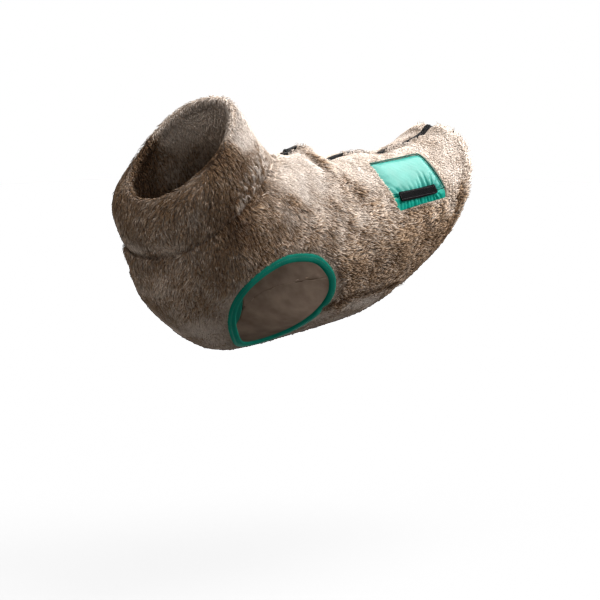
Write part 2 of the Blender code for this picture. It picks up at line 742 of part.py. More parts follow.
def zip_section(along, meshed, side):
    """Half the zip's cross-section. meshed is 0 ahead of the slider and 1 behind it."""
    inner = SEAM_GAP / 2 + (TAPE_PARTED - SEAM_GAP / 2) * (1 - meshed)
    coil = max(COIL_HALF, inner + COIL_LEAST)
    top = -TAPE_SUNK
    low = top - TAPE_THICKNESS
    high = top + COIL_HEIGHT * meshed
    corners = [
        (inner, low),
        (TAPE_HALF, low),
        (TAPE_HALF, top),
        (coil + COIL_SLOPE, top),
        (coil, high),
        (inner, high),
    ]
    points = []
    along = np.array([along])
    middle = body_normal(np.zeros(1), along)
    edge = body_normal(around_at(side * (TAPE_HALF + SEAM_GAP), along), along)
    for offset, height in corners:
        share = offset / TAPE_HALF
        outward = middle * (1 - share) + edge * share
        outward /= np.linalg.norm(outward)
        points.append((body(around_at(side * offset, along), along) + outward * height)[0])
    return points


def build_zip():
    """The two halves of the back zip: a tape with its half of the closed coil."""
    length = TAPE_ALONG_END - TAPE_ALONG_START
    stations = TAPE_ALONG_START + length * np.linspace(0, 1, TAPE_STATIONS)
    stations = np.sort(np.concatenate([stations, COIL_MEETS]))
    meshed = np.clip((stations - COIL_MEETS[0]) / (COIL_MEETS[1] - COIL_MEETS[0]), 0, 1)
    for name, side in (("zip_left", 1), ("zip_right", -1)):
        sections = [zip_section(along, share, side) for along, share in zip(stations, meshed)]
        sweep(name, np.array(sections), "zip", closed=False)


def slider_frame():
    """The slider's place on the zip: a point of the body, and the way to the tail."""
    spot = np.array([0.0]), np.array([SLIDER_ALONG])
    here = body(*spot)[0]
    ahead = body(spot[0], spot[1] - SLIDER_REACH)[0]
    behind = body(spot[0], spot[1] + SLIDER_REACH)[0]
    return here, behind - ahead


def slider_empty():
    """An empty on the slider's place, its Y to the tail and its Z outward."""
    here, tailward = slider_frame()
    empty = bpy.data.objects.new("slider_place", None)
    bpy.context.scene.collection.objects.link(empty)
    empty.location = here / 1000
    empty.rotation_euler = (math.atan2(tailward[2], tailward[1]), 0, 0)
    return empty


def box(name, low, high, look, parent):
    """A box between two corners in mm, in the parent's frame."""
    corners = [(x, y, z) for x in (0, 1) for y in (0, 1) for z in (0, 1)]
    low, high = np.array(low), np.array(high)
    points = low + (high - low) * np.array(corners)
    faces = [(0, 1, 3, 2), (4, 6, 7, 5), (0, 4, 5, 1), (2, 3, 7, 6), (0, 2, 6, 4), (1, 5, 7, 3)]
    made = add_object(name, points, faces, look)
    made.parent = parent
    return made


def unite(base, helpers):
    """The helpers joined to the base by live Booleans, and hidden."""
    for helper in helpers:
        union = base.modifiers.new(helper.name, "BOOLEAN")
        union.operation = "UNION"
        union.object = helper
        helper.hide_render = True
        helper.hide_set(True)


def build_slider(place):
    """Two plates joined by a post between the parted tapes, and a bridge for the tab's eye."""
    coil_top = -TAPE_SUNK + COIL_HEIGHT
    tape_low = -TAPE_SUNK - TAPE_THICKNESS
    half = PLATE_LENGTH / 2
    upper = coil_top + PLATE_CLEAR
    lower = tape_low - PLATE_CLEAR
    deck = upper + PLATE_THICKNESS
    over = deck + EYE_HEIGHT + EYE_RADIUS + SEAM_GAP
    slider = box("slider", (-PLATE_HALF, -half, upper), (PLATE_HALF, half, deck), "slider", place)
    wide = BRIDGE_HALF
    legs = [
        box(
            f"slider_leg_{i}",
            (-wide, y, deck - CAST_OVERLAP),
            (wide, y + BRIDGE_BAR, over + BRIDGE_BAR),
            "slider",
            place,
        )
        for i, y in enumerate((-BRIDGE_REACH, BRIDGE_REACH - BRIDGE_BAR))
    ]
    bar_low = (-wide, -BRIDGE_REACH, over)
    bar = box("slider_bar", bar_low, (wide, BRIDGE_REACH, over + BRIDGE_BAR), "slider", place)
    base_low = (-PLATE_HALF, -half, lower - PLATE_THICKNESS)
    base = box("slider_base", base_low, (PLATE_HALF, half, lower), "slider", place)
    post_low = (-POST_HALF, -half + POST_SETBACK, lower - CAST_OVERLAP)
    post_end = -half + POST_SETBACK + POST_LENGTH
    post_high = (POST_HALF, post_end, upper + CAST_OVERLAP)
    post = box("slider_post", post_low, post_high, "slider", place)
    unite(slider, [*legs, bar, base, post])
    return deck + EYE_HEIGHT


def build_tab(place, eye_height):
    """The pull tab: an eye under the bridge, a window that the bridge passes, and a plate."""
    pivot = bpy.data.objects.new("tab_pivot", None)
    bpy.context.scene.collection.objects.link(pivot)
    pivot.parent = place
    pivot.location = (0, 0, eye_height / 1000)
    pivot.rotation_euler = (math.radians(TAB_TILT), 0, 0)
    thick = TAB_THICKNESS / 2
    rows = [(-TAB_HALF, TAB_WINDOW), (TAB_HALF, TAB_WINDOW)]
    centre = TAB_LENGTH - TAB_HALF
    for k in range(TAB_END_SIDES + 1):
        angle = math.pi * k / TAB_END_SIDES
        rows.append((TAB_HALF * math.cos(angle), centre + TAB_HALF * math.sin(angle)))
    points = [(x, y, z) for z in (-thick, thick) for x, y in rows]
    count = len(rows)
    faces = [tuple(range(count)), tuple(range(count, 2 * count))]
    faces += [(i, (i + 1) % count, (i + 1) % count + count, i + count) for i in range(count)]
    tab = add_object("pull_tab", points, faces, "slider")
    tab.parent = pivot
    arms = [
        box(
            f"tab_arm_{i}",
            (x, -EYE_RADIUS, -thick),
            (x + TAB_ARM, TAB_WINDOW + CAST_OVERLAP, thick),
            "slider",
            pivot,
        )
        for i, x in enumerate((-TAB_HALF, TAB_HALF - TAB_ARM))
    ]
    eye_low = (-TAB_HALF + EYE_INSET, -EYE_RADIUS, -EYE_RADIUS)
    eye_high = (TAB_HALF - EYE_INSET, EYE_RADIUS, EYE_RADIUS)
    eye = box("tab_eye", eye_low, eye_high, "slider", pivot)
    unite(tab, [*arms, eye])


def build_pocket():
    """The satin panel and band, the folded edge above and behind them, and the blank label."""
    shared = {"top": pocket_top, "bottom": pocket_bottom, "look": "satin"}
    no_hem = np.zeros(len(POCKET_UPPER), bool)
    panel("pocket_panel", POCKET_UPPER, no_hem, spacing=FINE_LATTICE, **shared)
    no_hem = np.zeros(len(POCKET_LOWER), bool)
    panel("pocket_band", POCKET_LOWER, no_hem, spacing=FINE_LATTICE, **shared)
    places = POCKET_BOUND
    points = body(places[:, 0], places[:, 1])
    outward = body_normal(places[:, 0], places[:, 1])
    run = np.gradient(points, axis=0)
    run /= np.linalg.norm(run, axis=1, keepdims=True)
    inward = np.cross(outward, run)
    middle = body(*degrees([LABEL_PLACE])[0])
    inward *= np.sign(((middle - points) * inward).sum(1))[:, None]
    base = pocket_top(places)[:, None] + SEAM_GAP
    top = [(EDGE_WIDTH - EDGE_SLOPE, EDGE_RISE), (EDGE_SLOPE, EDGE_RISE)]
    corners = [(0.0, 0.0), (EDGE_WIDTH, 0.0), *top]
    sections = [points + inward * reach + outward * (base + rise) for reach, rise in corners]
    sweep("pocket_edge", np.stack(sections, axis=1), "pocket_edge", closed=False)
    loop = label_loop()
    no_hem = np.zeros(len(loop), bool)
    panel(
        "label", loop, no_hem, label_top, label_bottom, "label", spacing=LABEL_LATTICE, gap=0.0
    )


def main():
    for old in list(bpy.data.objects):
        bpy.data.objects.remove(old)
    build_body()
    build_chest()
    build_collar()
    build_bindings()
    build_zip()
    place = slider_empty()
    build_tab(place, build_slider(place))
    build_pocket()


main()
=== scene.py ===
# %% [markdown]
# # A dog's winter coat in plush fleece
#
# The coat is worn by nobody: a hollow tube of thick plush with a roll collar, two armholes bound
# in green, a zip down the back and a satin pocket on the left flank. This file dresses the plain
# solids of the part. It goes through the coat the way a maker would: the cloth first, then its
# pile, then the trimmings that are sewn on.

# %% Load the solids
import json
import math

import bpy
import numpy as np
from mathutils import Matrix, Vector
from mathutils.bvhtree import BVHTree
from mathutils.kdtree import KDTree


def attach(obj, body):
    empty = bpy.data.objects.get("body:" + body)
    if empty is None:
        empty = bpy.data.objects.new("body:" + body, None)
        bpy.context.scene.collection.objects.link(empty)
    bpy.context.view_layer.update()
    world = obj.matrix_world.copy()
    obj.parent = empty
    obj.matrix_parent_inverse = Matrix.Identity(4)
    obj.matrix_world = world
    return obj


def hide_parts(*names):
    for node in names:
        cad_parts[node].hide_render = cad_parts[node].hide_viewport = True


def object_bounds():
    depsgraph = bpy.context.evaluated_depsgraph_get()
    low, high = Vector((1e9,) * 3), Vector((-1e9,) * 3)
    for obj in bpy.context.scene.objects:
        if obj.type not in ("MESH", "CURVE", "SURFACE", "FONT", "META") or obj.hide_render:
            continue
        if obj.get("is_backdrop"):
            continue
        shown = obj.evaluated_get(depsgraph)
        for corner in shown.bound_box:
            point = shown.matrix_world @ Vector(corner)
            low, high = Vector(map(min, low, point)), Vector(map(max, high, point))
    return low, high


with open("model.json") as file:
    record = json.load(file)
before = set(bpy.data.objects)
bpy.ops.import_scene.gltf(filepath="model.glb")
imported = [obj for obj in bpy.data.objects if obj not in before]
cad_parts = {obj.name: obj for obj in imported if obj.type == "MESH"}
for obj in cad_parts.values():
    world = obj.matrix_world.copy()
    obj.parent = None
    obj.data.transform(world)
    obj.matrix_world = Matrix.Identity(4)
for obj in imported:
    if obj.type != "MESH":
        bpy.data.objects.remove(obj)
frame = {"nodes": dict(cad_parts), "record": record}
cad_low, cad_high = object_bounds()
MM = 0.001
print("solids:", ", ".join(sorted(frame["nodes"])))

# %% [markdown]
# ## Small tools
#
# An operator works on whatever is selected, so each piece is made the only selected one first.
# The rest is arithmetic on whole arrays of points, which is how thousands of tufts stay quick.

# %% Selecting, making and reading a piece
MERGE_WITHIN = 0.05 * MM
SHARP_EDGE = math.radians(35)
SIDES = (("left", 1), ("right", -1))


def only(piece):
    """Makes a piece the only selected one, and the active one."""
    for other in bpy.context.selected_objects:
        other.select_set(False)
    bpy.context.view_layer.objects.active = piece
    piece.select_set(True)


def edit(piece, action="SELECT"):
    """Opens a piece for editing, with all of it selected or with nothing."""
    only(piece)
    bpy.ops.object.mode_set(mode="EDIT")
    bpy.ops.mesh.select_all(action=action)


def edit_sharp_edges(piece):
    """Opens a piece for editing with only its sharp edges selected."""
    edit(piece, "DESELECT")
    bpy.context.tool_settings.mesh_select_mode = (False, True, False)
    bpy.ops.mesh.edges_select_sharp(sharpness=SHARP_EDGE)


def done():
    bpy.ops.object.mode_set(mode="OBJECT")


def turn(axis, angle):
    bpy.ops.transform.rotate(value=angle, orient_axis=axis, center_override=(0, 0, 0))


def in_scene(name, data):
    made = bpy.data.objects.new(name, data)
    bpy.context.scene.collection.objects.link(made)
    return made


def apply_modifier(piece, kind, **settings):
    """Adds a modifier to the piece, with its settings, and applies it."""
    only(piece)
    added = piece.modifiers.new(kind.title(), kind)
    for key, value in settings.items():
        setattr(added, key, value)
    bpy.ops.object.modifier_apply(modifier=added.name)


def subdivided(piece, levels):
    apply_modifier(piece, "SUBSURF", levels=levels, render_levels=levels)
    return piece


def copy_of(node, name):
    """A solid's skin as a new piece, with its loose triangles merged into one closed mesh."""
    piece = in_scene(name, frame["nodes"][node].data.copy())
    piece.data.materials.clear()
    edit(piece)
    bpy.ops.mesh.remove_doubles(threshold=MERGE_WITHIN)
    done()
    if piece.data.has_custom_normals:
        bpy.ops.mesh.customdata_custom_splitnormals_clear()
    bpy.ops.object.shade_smooth()
    return piece


# %% Arrays of points
def array_of(items, key, kind=np.float32):
    """A property of all the points or faces of a mesh, as one row of three values for each."""
    flat = np.empty(len(items) * 3, kind)
    items.foreach_get(key, flat)
    return flat.reshape(-1, 3)


def points_of(mesh):
    return array_of(mesh.vertices, "co").astype(float)


def normals_of(mesh):
    return array_of(mesh.vertex_normals, "vector").astype(float)


def triangles_of(mesh):
    mesh.calc_loop_triangles()
    return array_of(mesh.loop_triangles, "vertices", np.int32)


def move_points(mesh, points):
    mesh.vertices.foreach_set("co", points.astype(np.float32).ravel())
    mesh.update()


def unit(vectors):
    length = np.linalg.norm(vectors, axis=-1, keepdims=True)
    return vectors / np.maximum(length, 1e-12)


def eased(share):
    """A share of a way from 0 to 1 with a soft start and a soft end."""
    share = np.clip(share, 0, 1)
    return share * share * (3 - 2 * share)


def beside_run(points, start, end):
    """Offsets of points from a straight run, and at what share of the run they are nearest."""
    run = end - start
    share = np.clip((points - start) @ run / (run @ run), 0, 1)
    return points - start - share[:, None] * run, share


def near_line(points, line, reach):
    """1 on a line and ever less away from it. The line and the reach are in millimetres."""
    line = np.array(line) * MM
    gap = np.full(len(points), np.inf)
    for start, end in zip(line, line[1:]):
        gap = np.minimum(gap, np.linalg.norm(beside_run(points, start, end)[0], axis=1))
    return np.exp(-((gap / (reach * MM)) ** 2))


# %% [markdown]
# ## Finishes
#
# A finish is a small tree of shader nodes. Every trim of the coat has the same kind: a colour
# that drifts between two shades, as dyed cloth does, and often the bump of a fine weave. The
# weave is three crossing waves. All patterns are fixed to the object, so they don't slide.

# %% Nodes of a finish
WAVE_SCALE = 6.3  # brings one wave of the texture to the width of two threads


def add_node(tree, kind, **values):
    """Adds a node. A value is a setting, or an output of another node that is linked to it."""
    made = tree.nodes.new(kind)
    for key, value in values.items():
        socket = made.inputs.get(key.replace("_", " "))
        if socket is None:
            setattr(made, key, value)
        elif isinstance(value, bpy.types.NodeSocket):
            tree.links.new(value, socket)
        else:
            socket.default_value = value
    return made


def combined(tree, operation, first, second):
    made = add_node(tree, "ShaderNodeMath", operation=operation)
    tree.links.new(first, made.inputs[0])
    tree.links.new(second, made.inputs[1])
    return made.outputs[0]


def ramp(tree, value, stops):
    """Colours along a value from 0 to 1, given as stops with their places."""
    made = add_node(tree, "ShaderNodeValToRGB", Fac=value)
    elements = made.color_ramp.elements
    while len(elements) < len(stops):
        elements.new(0.5)
    for element, (place, colour) in zip(elements, stops):
        element.position = place
        element.color = (*colour, 1)
    return made.outputs["Color"]


def new_material(name, colour, roughness, specular=0.5, **values):
    made = bpy.data.materials.new(name)
    made.use_nodes = True
    shader = made.node_tree.nodes["Principled BSDF"]
    shader.inputs["Base Color"].default_value = (*colour, 1)
    shader.inputs["Roughness"].default_value = roughness
    shader.inputs["Specular IOR Level"].default_value = specular
    for key, value in values.items():
        shader.inputs[key.replace("_", " ")].default_value = value
    made.diffuse_color = (*colour, 1)
    return made, made.node_tree, shader


def texture(tree, kind, **values):
    """A texture that is fixed to the object."""
    where = add_node(tree, "ShaderNodeTexCoord").outputs["Object"]
    return add_node(tree, kind, Vector=where, **values)


def mottled(tree, shader, light, dark, scale, detail=4.0):
    noise = texture(tree, "ShaderNodeTexNoise", Scale=scale, Detail=detail)
    colour = ramp(tree, noise.outputs["Fac"], [(0.3, dark), (0.7, light)])
    tree.links.new(colour, shader.inputs["Base Color"])


def bumpy(tree, shader, height, strength, depth):
    """A bump as strong and as deep in millimetres as is said, from a height between 0 and 1."""
    bump = add_node(tree, "ShaderNodeBump", Strength=strength, Distance=depth * MM, Height=height)
    tree.links.new(bump.outputs["Normal"], shader.inputs["Normal"])


def weave(tree, thread):
    """Height of a plain weave with threads of the given width in millimetres."""
    scale = 1 / (thread * MM) / WAVE_SCALE
    height = None
    for direction in "XYZ":
        wave = texture(tree, "ShaderNodeTexWave", Scale=scale, Distortion=0.6, Detail=1.0)
        wave.bands_direction = direction
        fac = wave.outputs["Fac"]
        height = fac if height is None else combined(tree, "MULTIPLY", height, fac)
    return height


# %% Finishes of the trims
MINT = (0.010, 0.280, 0.230)
BAND_MINT = (0.002, 0.340, 0.260)
FINISHES = {
    # plain colour, roughness, specular, light shade, dark shade, scale of the shades, and the
    # weave: its thread_mm, the strength of its bump and its depth_mm
    "binding_knit": (
        (0.0, 0.16, 0.11), 0.8, 0.1, (0.001, 0.205, 0.145), (0.0, 0.145, 0.102), 60, (0.5, 0.5, 0.2)
    ),
    "green_thread": ((0.0, 0.15, 0.10), 0.5, 0.5, (0.0, 0.17, 0.115), (0.0, 0.12, 0.08), 900, None),
    "zip_tape": (
        (0.010, 0.010, 0.011), 0.85, 0.2, (0.014, 0.013, 0.015), (0.005, 0.005, 0.006), 140,
        (0.35, 0.8, 0.2),
    ),
    "zip_coil": (
        (0.012, 0.012, 0.013), 0.45, 0.5, (0.017, 0.017, 0.019), (0.008, 0.008, 0.009), 400, None
    ),
    "mint_satin": (MINT, 0.42, 0.22, MINT, (0.006, 0.225, 0.180), 40, (0.28, 0.25, 0.12)),
    "mint_satin_band": (
        BAND_MINT, 0.42, 0.06, BAND_MINT, (0.001, 0.260, 0.195), 40, (0.28, 0.25, 0.12)
    ),
    # darker green: the turned edge's own colour, and painted shade along the pocket's top and rear
    "pocket_fold": (
        (0.0, 0.16, 0.11), 0.6, 0.15, (0.0, 0.085, 0.058), (0.0, 0.055, 0.037), 120,
        (0.4, 0.4, 0.15),
    ),
    "label_weave": (
        (0.010, 0.009, 0.012), 0.7, 0.02, (0.0035, 0.003, 0.004), (0.0015, 0.0015, 0.002), 220,
        (0.45, 0.9, 0.3),
    ),
    "label_thread": (
        (0.05, 0.045, 0.05), 0.5, 0.2, (0.060, 0.052, 0.060), (0.030, 0.026, 0.030), 900, None
    ),
}


def trim_finish(name, colour, roughness, specular, light, dark, scale, woven):
    made, tree, shader = new_material(name, colour, roughness, specular)
    mottled(tree, shader, light, dark, scale)
    if woven:
        thread, strength, depth = woven
        bumpy(tree, shader, weave(tree, thread), strength, depth)
    return made


FINISH = {name: trim_finish(name, *row) for name, row in FINISHES.items()}
print("finishes:", ", ".join(FINISH))

# %% [markdown]
# ## Camera, light and floor
#
# The camera is a long lens a little above the collar, about three metres off, so the coat hardly
# narrows with distance. It looks down by a few degrees. The main light is a broad lamp high up
# behind the tail, which leaves the chest in shade. Small warm lamps in front keep that shade
# open. The floor has a lamp of its own, so that it stays pale without lighting the coat.

# %% Camera
CAMERA_PLACE = (2.2212, -2.1309, 0.1630)
CAMERA_AZIMUTH = math.radians(45.7)
CAMERA_PITCH = math.radians(6.4)
CAMERA_LENS = 144.0
SENSOR_WIDTH = 36.0

camera_data = bpy.data.cameras.new("camera")
camera_data.sensor_width = SENSOR_WIDTH
camera_data.lens = CAMERA_LENS
camera = in_scene("camera", camera_data)
camera.location = CAMERA_PLACE
camera.rotation_euler = (math.pi / 2 - CAMERA_PITCH, 0, CAMERA_AZIMUTH)
bpy.context.scene.camera = camera
print("camera at", tuple(round(x, 2) for x in camera.location))

# %% Lamps and world
AIM = (0.0, 0.0, -0.08)
FLOOR_DROP = 0.497
ROOM_LIGHT = 0.15
LAMPS = [
    # name, place, what it is aimed at, width, power, colour
    ("key_lamp", (0.4, 1.7, 2.2), AIM, 3.2, 292.0, (1.0, 0.99, 0.98)),
    ("tail_lamp", (1.0, 2.1, 0.6), AIM, 1.0, 14.0, (1, 1, 1)),
    ("fill_lamp", (2.4, -1.2, 0.9), AIM, 1.4, 9.0, (1.0, 0.94, 0.88)),
    ("side_lamp", (-0.9, -2.6, 0.3), AIM, 1.4, 18.0, (1.0, 0.92, 0.84)),
    ("floor_lamp", (0.0, 0.0, 2.5), (0, 0, -FLOOR_DROP), 3.0, 1800.0, (1, 1, 1)),
]

for name, place, aim, size, power, colour in LAMPS:
    light = bpy.data.lights.new(name, "AREA")
    light.shape = "DISK"
    light.size = size
    light.energy = power
    light.color = colour
    lamp = in_scene(name, light)
    lamp.location = place
    lamp.rotation_euler = (Vector(aim) - Vector(place)).to_track_quat("-Z", "Y").to_euler()

bpy.context.scene.view_settings.view_transform = "Standard"
world = bpy.data.worlds.new("studio")
bpy.context.scene.world = world
world.use_nodes = True
sky = world.node_tree
paper = sky.nodes["Background"]
paper.inputs["Color"].default_value = (1, 1, 1, 1)
paper.inputs["Strength"].default_value = 1.0
room = add_node(sky, "ShaderNodeBackground", Color=(1.0, 0.96, 0.92, 1), Strength=ROOM_LIGHT)
seen = add_node(sky, "ShaderNodeLightPath")
either = add_node(sky, "ShaderNodeMixShader", Fac=seen.outputs["Is Camera Ray"])
sky.links.new(room.outputs["Background"], either.inputs[1])
sky.links.new(paper.outputs["Background"], either.inputs[2])
sky.links.new(either.outputs["Shader"], sky.nodes["World Output"].inputs["Surface"])
print(len(LAMPS), "lamps, room light", ROOM_LIGHT)

# %% Floor
FLOOR_SIZE = 12.0

bpy.ops.mesh.primitive_plane_add(size=FLOOR_SIZE, location=(0, 0, -FLOOR_DROP))
floor = bpy.context.object
floor.name = "floor"
floor.data.materials.append(new_material("floor_paint", (0.10, 0.10, 0.10), 0.7)[0])
floor.is_shadow_catcher = True
floor.visible_diffuse = False
floor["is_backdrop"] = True

floor_only = bpy.data.collections.new("floor_only")
floor_only.objects.link(floor)
linking = bpy.data.objects["floor_lamp"].light_linking
linking.receiver_collection = floor_only
linking.blocker_collection = floor_only
print("floor", FLOOR_SIZE, "m wide,", FLOOR_DROP, "m down")

# %% [markdown]
# ## Which side of the cloth is out
#
# Every fleece piece is a wall round the same hollow. The record names that hollow as a row of
# boxes, and their centres make a line through the coat from the collar to the hem. A point of
# cloth faces outward where its normal looks away from this line.

# %% The line through the hollow
HOLLOW_ROOMS = ["collar_mouth", "neck_base", "torso_front", "torso_middle", "torso_rear"]
HEM_CENTRE = (0.0, 0.235, -0.060)

rooms = {room["name"]: room["box_m"] for room in frame["record"]["physics"]["openings"]}
hollow_line = np.array([np.mean(rooms[name], axis=0) for name in HOLLOW_ROOMS] + [HEM_CENTRE])
print("hollow line, mm:", (hollow_line / MM).round().tolist())


def from_hollow(points):
    """Unit vectors that lead away from the line through the hollow."""
    best = np.full(len(points), np.inf)
    away = np.zeros_like(points)
    for start, end in zip(hollow_line, hollow_line[1:]):
        offset = beside_run(points, start, end)[0]
        distance = np.linalg.norm(offset, axis=1)
        nearer = distance < best
        best = np.where(nearer, distance, best)
        away[nearer] = offset[nearer]
    return unit(away)


def outward_share(points, normals):
    """How far a normal faces out of the hollow, from -1 to 1."""
    return (normals * from_hollow(points)).sum(1)


# %% [markdown]
# ## Folds
#
# Worn cloth is never quite smooth: it sinks where the body bends and swells between. The big
# forms are in the solids already. This table adds the soft folds, each one a line in
# millimetres with its rise (below 0 it is a trough) and its half width. The same field moves the
# cloth and all that is sewn to it, so nothing comes apart. The right side has folds of its own,
# because no coat creases the same on both sides.

# %% Table of folds
HEM_ALLOWANCE = [(58, 272, 23), (88, 258, -27), (88, 228, -88), (66, 186, -142), (34, 148, -177)]
BELLY_SEAM = [
    (79, 0, -190), (80, 19, -185), (82, 38, -179), (81, 54, -176), (77, 77, -176), (75, 109, -173),
    (71, 134, -167),
]
BELLY_SEAM_RIGHT = [(1 - x, y, z) for x, y, z in BELLY_SEAM]
HEM_ALLOWANCE_RIGHT = [(-x, y, z) for x, y, z in HEM_ALLOWANCE]
FOLDS = [
    # rise, half width, line
    (2.0, 9, [(60, -92, 15), (84, -133, -15), (89, -158, -48)]),  # collar, near side
    (-2.0, 10, [(76, -150, 30), (86, -172, 0), (84, -190, -40), (82, -192, -72)]),
    (1.5, 12, [(-36, -234, -84), (12, -238, -88), (58, -224, -84)]),
    (-1.2, 9, [(-50, -218, -62), (-8, -232, -58), (44, -226, -56)]),
    (-2.2, 8, [(73, -97, -32), (85, -132, -54), (86, -169, -79)]),  # under the collar
    (-2.8, 13, [(86, -169, -79), (83, -172, -111), (76, -170, -144)]),  # shoulder
    (1.4, 9, [(24, 8, 8), (40, 6, 0), (55, 12, -12)]),  # back, behind the collar
    (-1.9, 6, [(36, 17, 3), (50, 24, -9), (62, 31, -21), (70, 42, -33)]),
    (-1.6, 9, [(62, 52, -26), (72, 62, -40), (80, 66, -52)]),
    (-1.6, 12, [(88, 6, -66), (95, 40, -95), (93, 72, -130)]),  # flank
    (1.2, 14, [(96, 74, -76), (97, 110, -98), (95, 140, -128)]),
    (-1.2, 10, [(94, 168, -84), (93, 186, -108), (88, 196, -132)]),
    (-4.2, 4, BELLY_SEAM),
    (-3.2, 4, BELLY_SEAM_RIGHT),
    (-1.8, 5, HEM_ALLOWANCE),
    (-1.8, 5, HEM_ALLOWANCE_RIGHT),
    (2.2, 7, [(17, 20, 11), (30, 23, 5), (44, 27, -6)]),
    (1.6, 10, [(-60, -95, 14), (-84, -128, -12), (-88, -150, -44)]),  # the same, far side
    (-1.6, 9, [(-80, -160, 20), (-86, -185, -20), (-82, -195, -60)]),
    (-2.2, 12, [(-84, -160, -84), (-82, -168, -118), (-74, -166, -150)]),
    (-2.0, 8, [(-36, 30, 3), (-52, 38, -10), (-66, 44, -26)]),
    (-1.4, 9, [(-66, 90, -28), (-76, 98, -44), (-84, 104, -60)]),
    (-1.3, 13, [(-86, 10, -64), (-95, 50, -100), (-92, 84, -134)]),
    (-1.5, 8, [(-60, 180, -20), (-78, 192, -42), (-88, 200, -66)]),
    (1.3, 14, [(-96, 120, -80), (-95, 150, -104), (-90, 176, -130)]),
]


def folded(points):
    """Points of cloth after the folds have moved them out from the hollow or in to it."""
    rise = np.zeros(len(points))
    for height, half_width, line in FOLDS:
        rise += height * MM * near_line(points, line, half_width)
    return points + from_hollow(points) * rise[:, None]


print(len(FOLDS), "folds, the deepest", min(row[0] for row in FOLDS), "mm")

# %% [markdown]
# ## Cloth of the fleece pieces
#
# Fleece is a knit ground with a deep brushed pile. The four pieces start as copies of their
# solids. Subdivision rounds them, which lets each seam sink into a soft valley, and then the
# outer side is drawn in by most of the pile's depth, so that the tufts fill the solid's space
# again. Under the pocket the cloth stays where it is, because the satin lies on it. The collar is
# twice as thick as the body, so its lower edge is drawn in a little more where it meets the body,
# and the body's neck edge sinks under it. The chest's neck edge is let out instead.

# %% How near to a solid
FAR = 50 * MM  # distances beyond this are all the same


def tree_of_meshes(*meshes):
    """A search tree over the triangles of some meshes."""
    points, corners, count = [], [], 0
    for mesh in meshes:
        points.append(points_of(mesh))
        corners.append(triangles_of(mesh) + count)
        count += len(mesh.vertices)
    return BVHTree.FromPolygons(np.vstack(points).tolist(), np.vstack(corners).tolist())


def tree_of(*nodes):
    return tree_of_meshes(*(frame["nodes"][node].data for node in nodes))


def distance_to(tree, points):
    found = (tree.find_nearest(Vector(point), FAR)[3] for point in points)
    return np.array([FAR if gap is None else gap for gap in found])


def clear_of(tree, points, near, reach):
    """0 as near as that to some solids, and 1 beyond a further reach. Both in millimetres."""
    return eased((distance_to(tree, points) - near * MM) / (reach * MM))


pocket_tree = tree_of("pocket_panel", "pocket_band", "pocket_edge")
trim_tree = tree_of("binding_left", "binding_right")
zip_tree = tree_of("zip_left", "zip_right")
body_tree = tree_of("body_left", "body_right", "chest")
collar_tree = tree_of("collar")

# %% Seams
EDGE_TO_SEAM = 0.5 * MM
SEAM_REACH = 1.0 * MM
SEAM_TUCK = 1.0 * MM
TUCKED_OUTSIDE = 0.1  # share of the tuck that the outer side of a seam gets


def hold_seams(piece, neighbours):
    """Creases the edges along which a piece meets its neighbours, so that no seam opens."""
    edit_sharp_edges(piece)
    done()
    mesh = piece.data
    crease = mesh.attributes.new("crease_edge", "FLOAT", "EDGE")
    held = 0
    for edge in mesh.edges:
        if not edge.select:
            continue
        middle = sum((mesh.vertices[k].co for k in edge.vertices), Vector()) / 2
        if neighbours.find_nearest(middle, EDGE_TO_SEAM)[0] is not None:
            crease.data[edge.index].value = 1.0
            held += 1
    print(piece.name, held, "edges held at seams")
    return piece


def tuck_seams(piece, neighbours):
    """Moves the inner side of each seam a little into the neighbour, so no light comes through."""
    mesh = piece.data
    push = np.zeros((len(mesh.vertices), 3))
    for face in mesh.polygons:
        place, facing, _, _ = neighbours.find_nearest(face.center, SEAM_REACH)
        if place is not None and facing.dot(face.normal) < -0.5:
            push[list(face.vertices)] += np.array(face.normal)
    points = points_of(mesh)
    outward = outward_share(points, normals_of(mesh))
    share = 1 - (1 - TUCKED_OUTSIDE) * eased((outward + 0.3) / 0.6)
    move_points(mesh, points + unit(push) * SEAM_TUCK * share[:, None])
    print(piece.name, int((np.abs(push).sum(1) > 0).sum()), "points tucked in at seams")


# %% Cut the fleece
PILE_DEPTH = 2.2 * MM
OUTER_SLOPE = 0.7
SEWN_TOGETHER = [
    "body_left", "body_right", "chest", "collar", "binding_left", "binding_right", "zip_left",
    "zip_right",
]
NECK_EDGES = {
    # what it meets, reach_mm, how far it is drawn in_mm, and on which slope of the outer side
    "body_left": (collar_tree, 7, 2.4, 0.1, 0.4),
    "body_right": (collar_tree, 7, 2.4, 0.1, 0.4),
    "chest": (collar_tree, 22, -3.2, 0.0, OUTER_SLOPE),
    "collar": (body_tree, 16, 3.0, 0.0, OUTER_SLOPE),
}
FLEECE_NAMES = {
    "body_left": "fleece_left",
    "body_right": "fleece_right",
    "chest": "fleece_chest",
    "collar": "fleece_collar",
}


def cut_fleece(node, name):
    neighbours = tree_of(*(other for other in SEWN_TOGETHER if other != node))
    piece = subdivided(hold_seams(copy_of(node, name), neighbours), 1)
    tuck_seams(piece, neighbours)
    points, normals = points_of(piece.data), normals_of(piece.data)
    outward = outward_share(points, normals)
    inset = PILE_DEPTH * eased(outward / OUTER_SLOPE)
    meets, reach, drawn_in, start, slope = NECK_EDGES[node]
    near_seam = 1 - clear_of(meets, points, 0, reach)
    inset += drawn_in * MM * near_seam * eased((outward + start) / slope)
    inset *= clear_of(pocket_tree, points, 1, 6)
    move_points(piece.data, folded(points - normals * inset[:, None]))
    return piece


cloth = {node: cut_fleece(node, name) for node, name in FLEECE_NAMES.items()}
for piece in cloth.values():
    print(piece.name, len(triangles_of(piece.data)), "triangles")
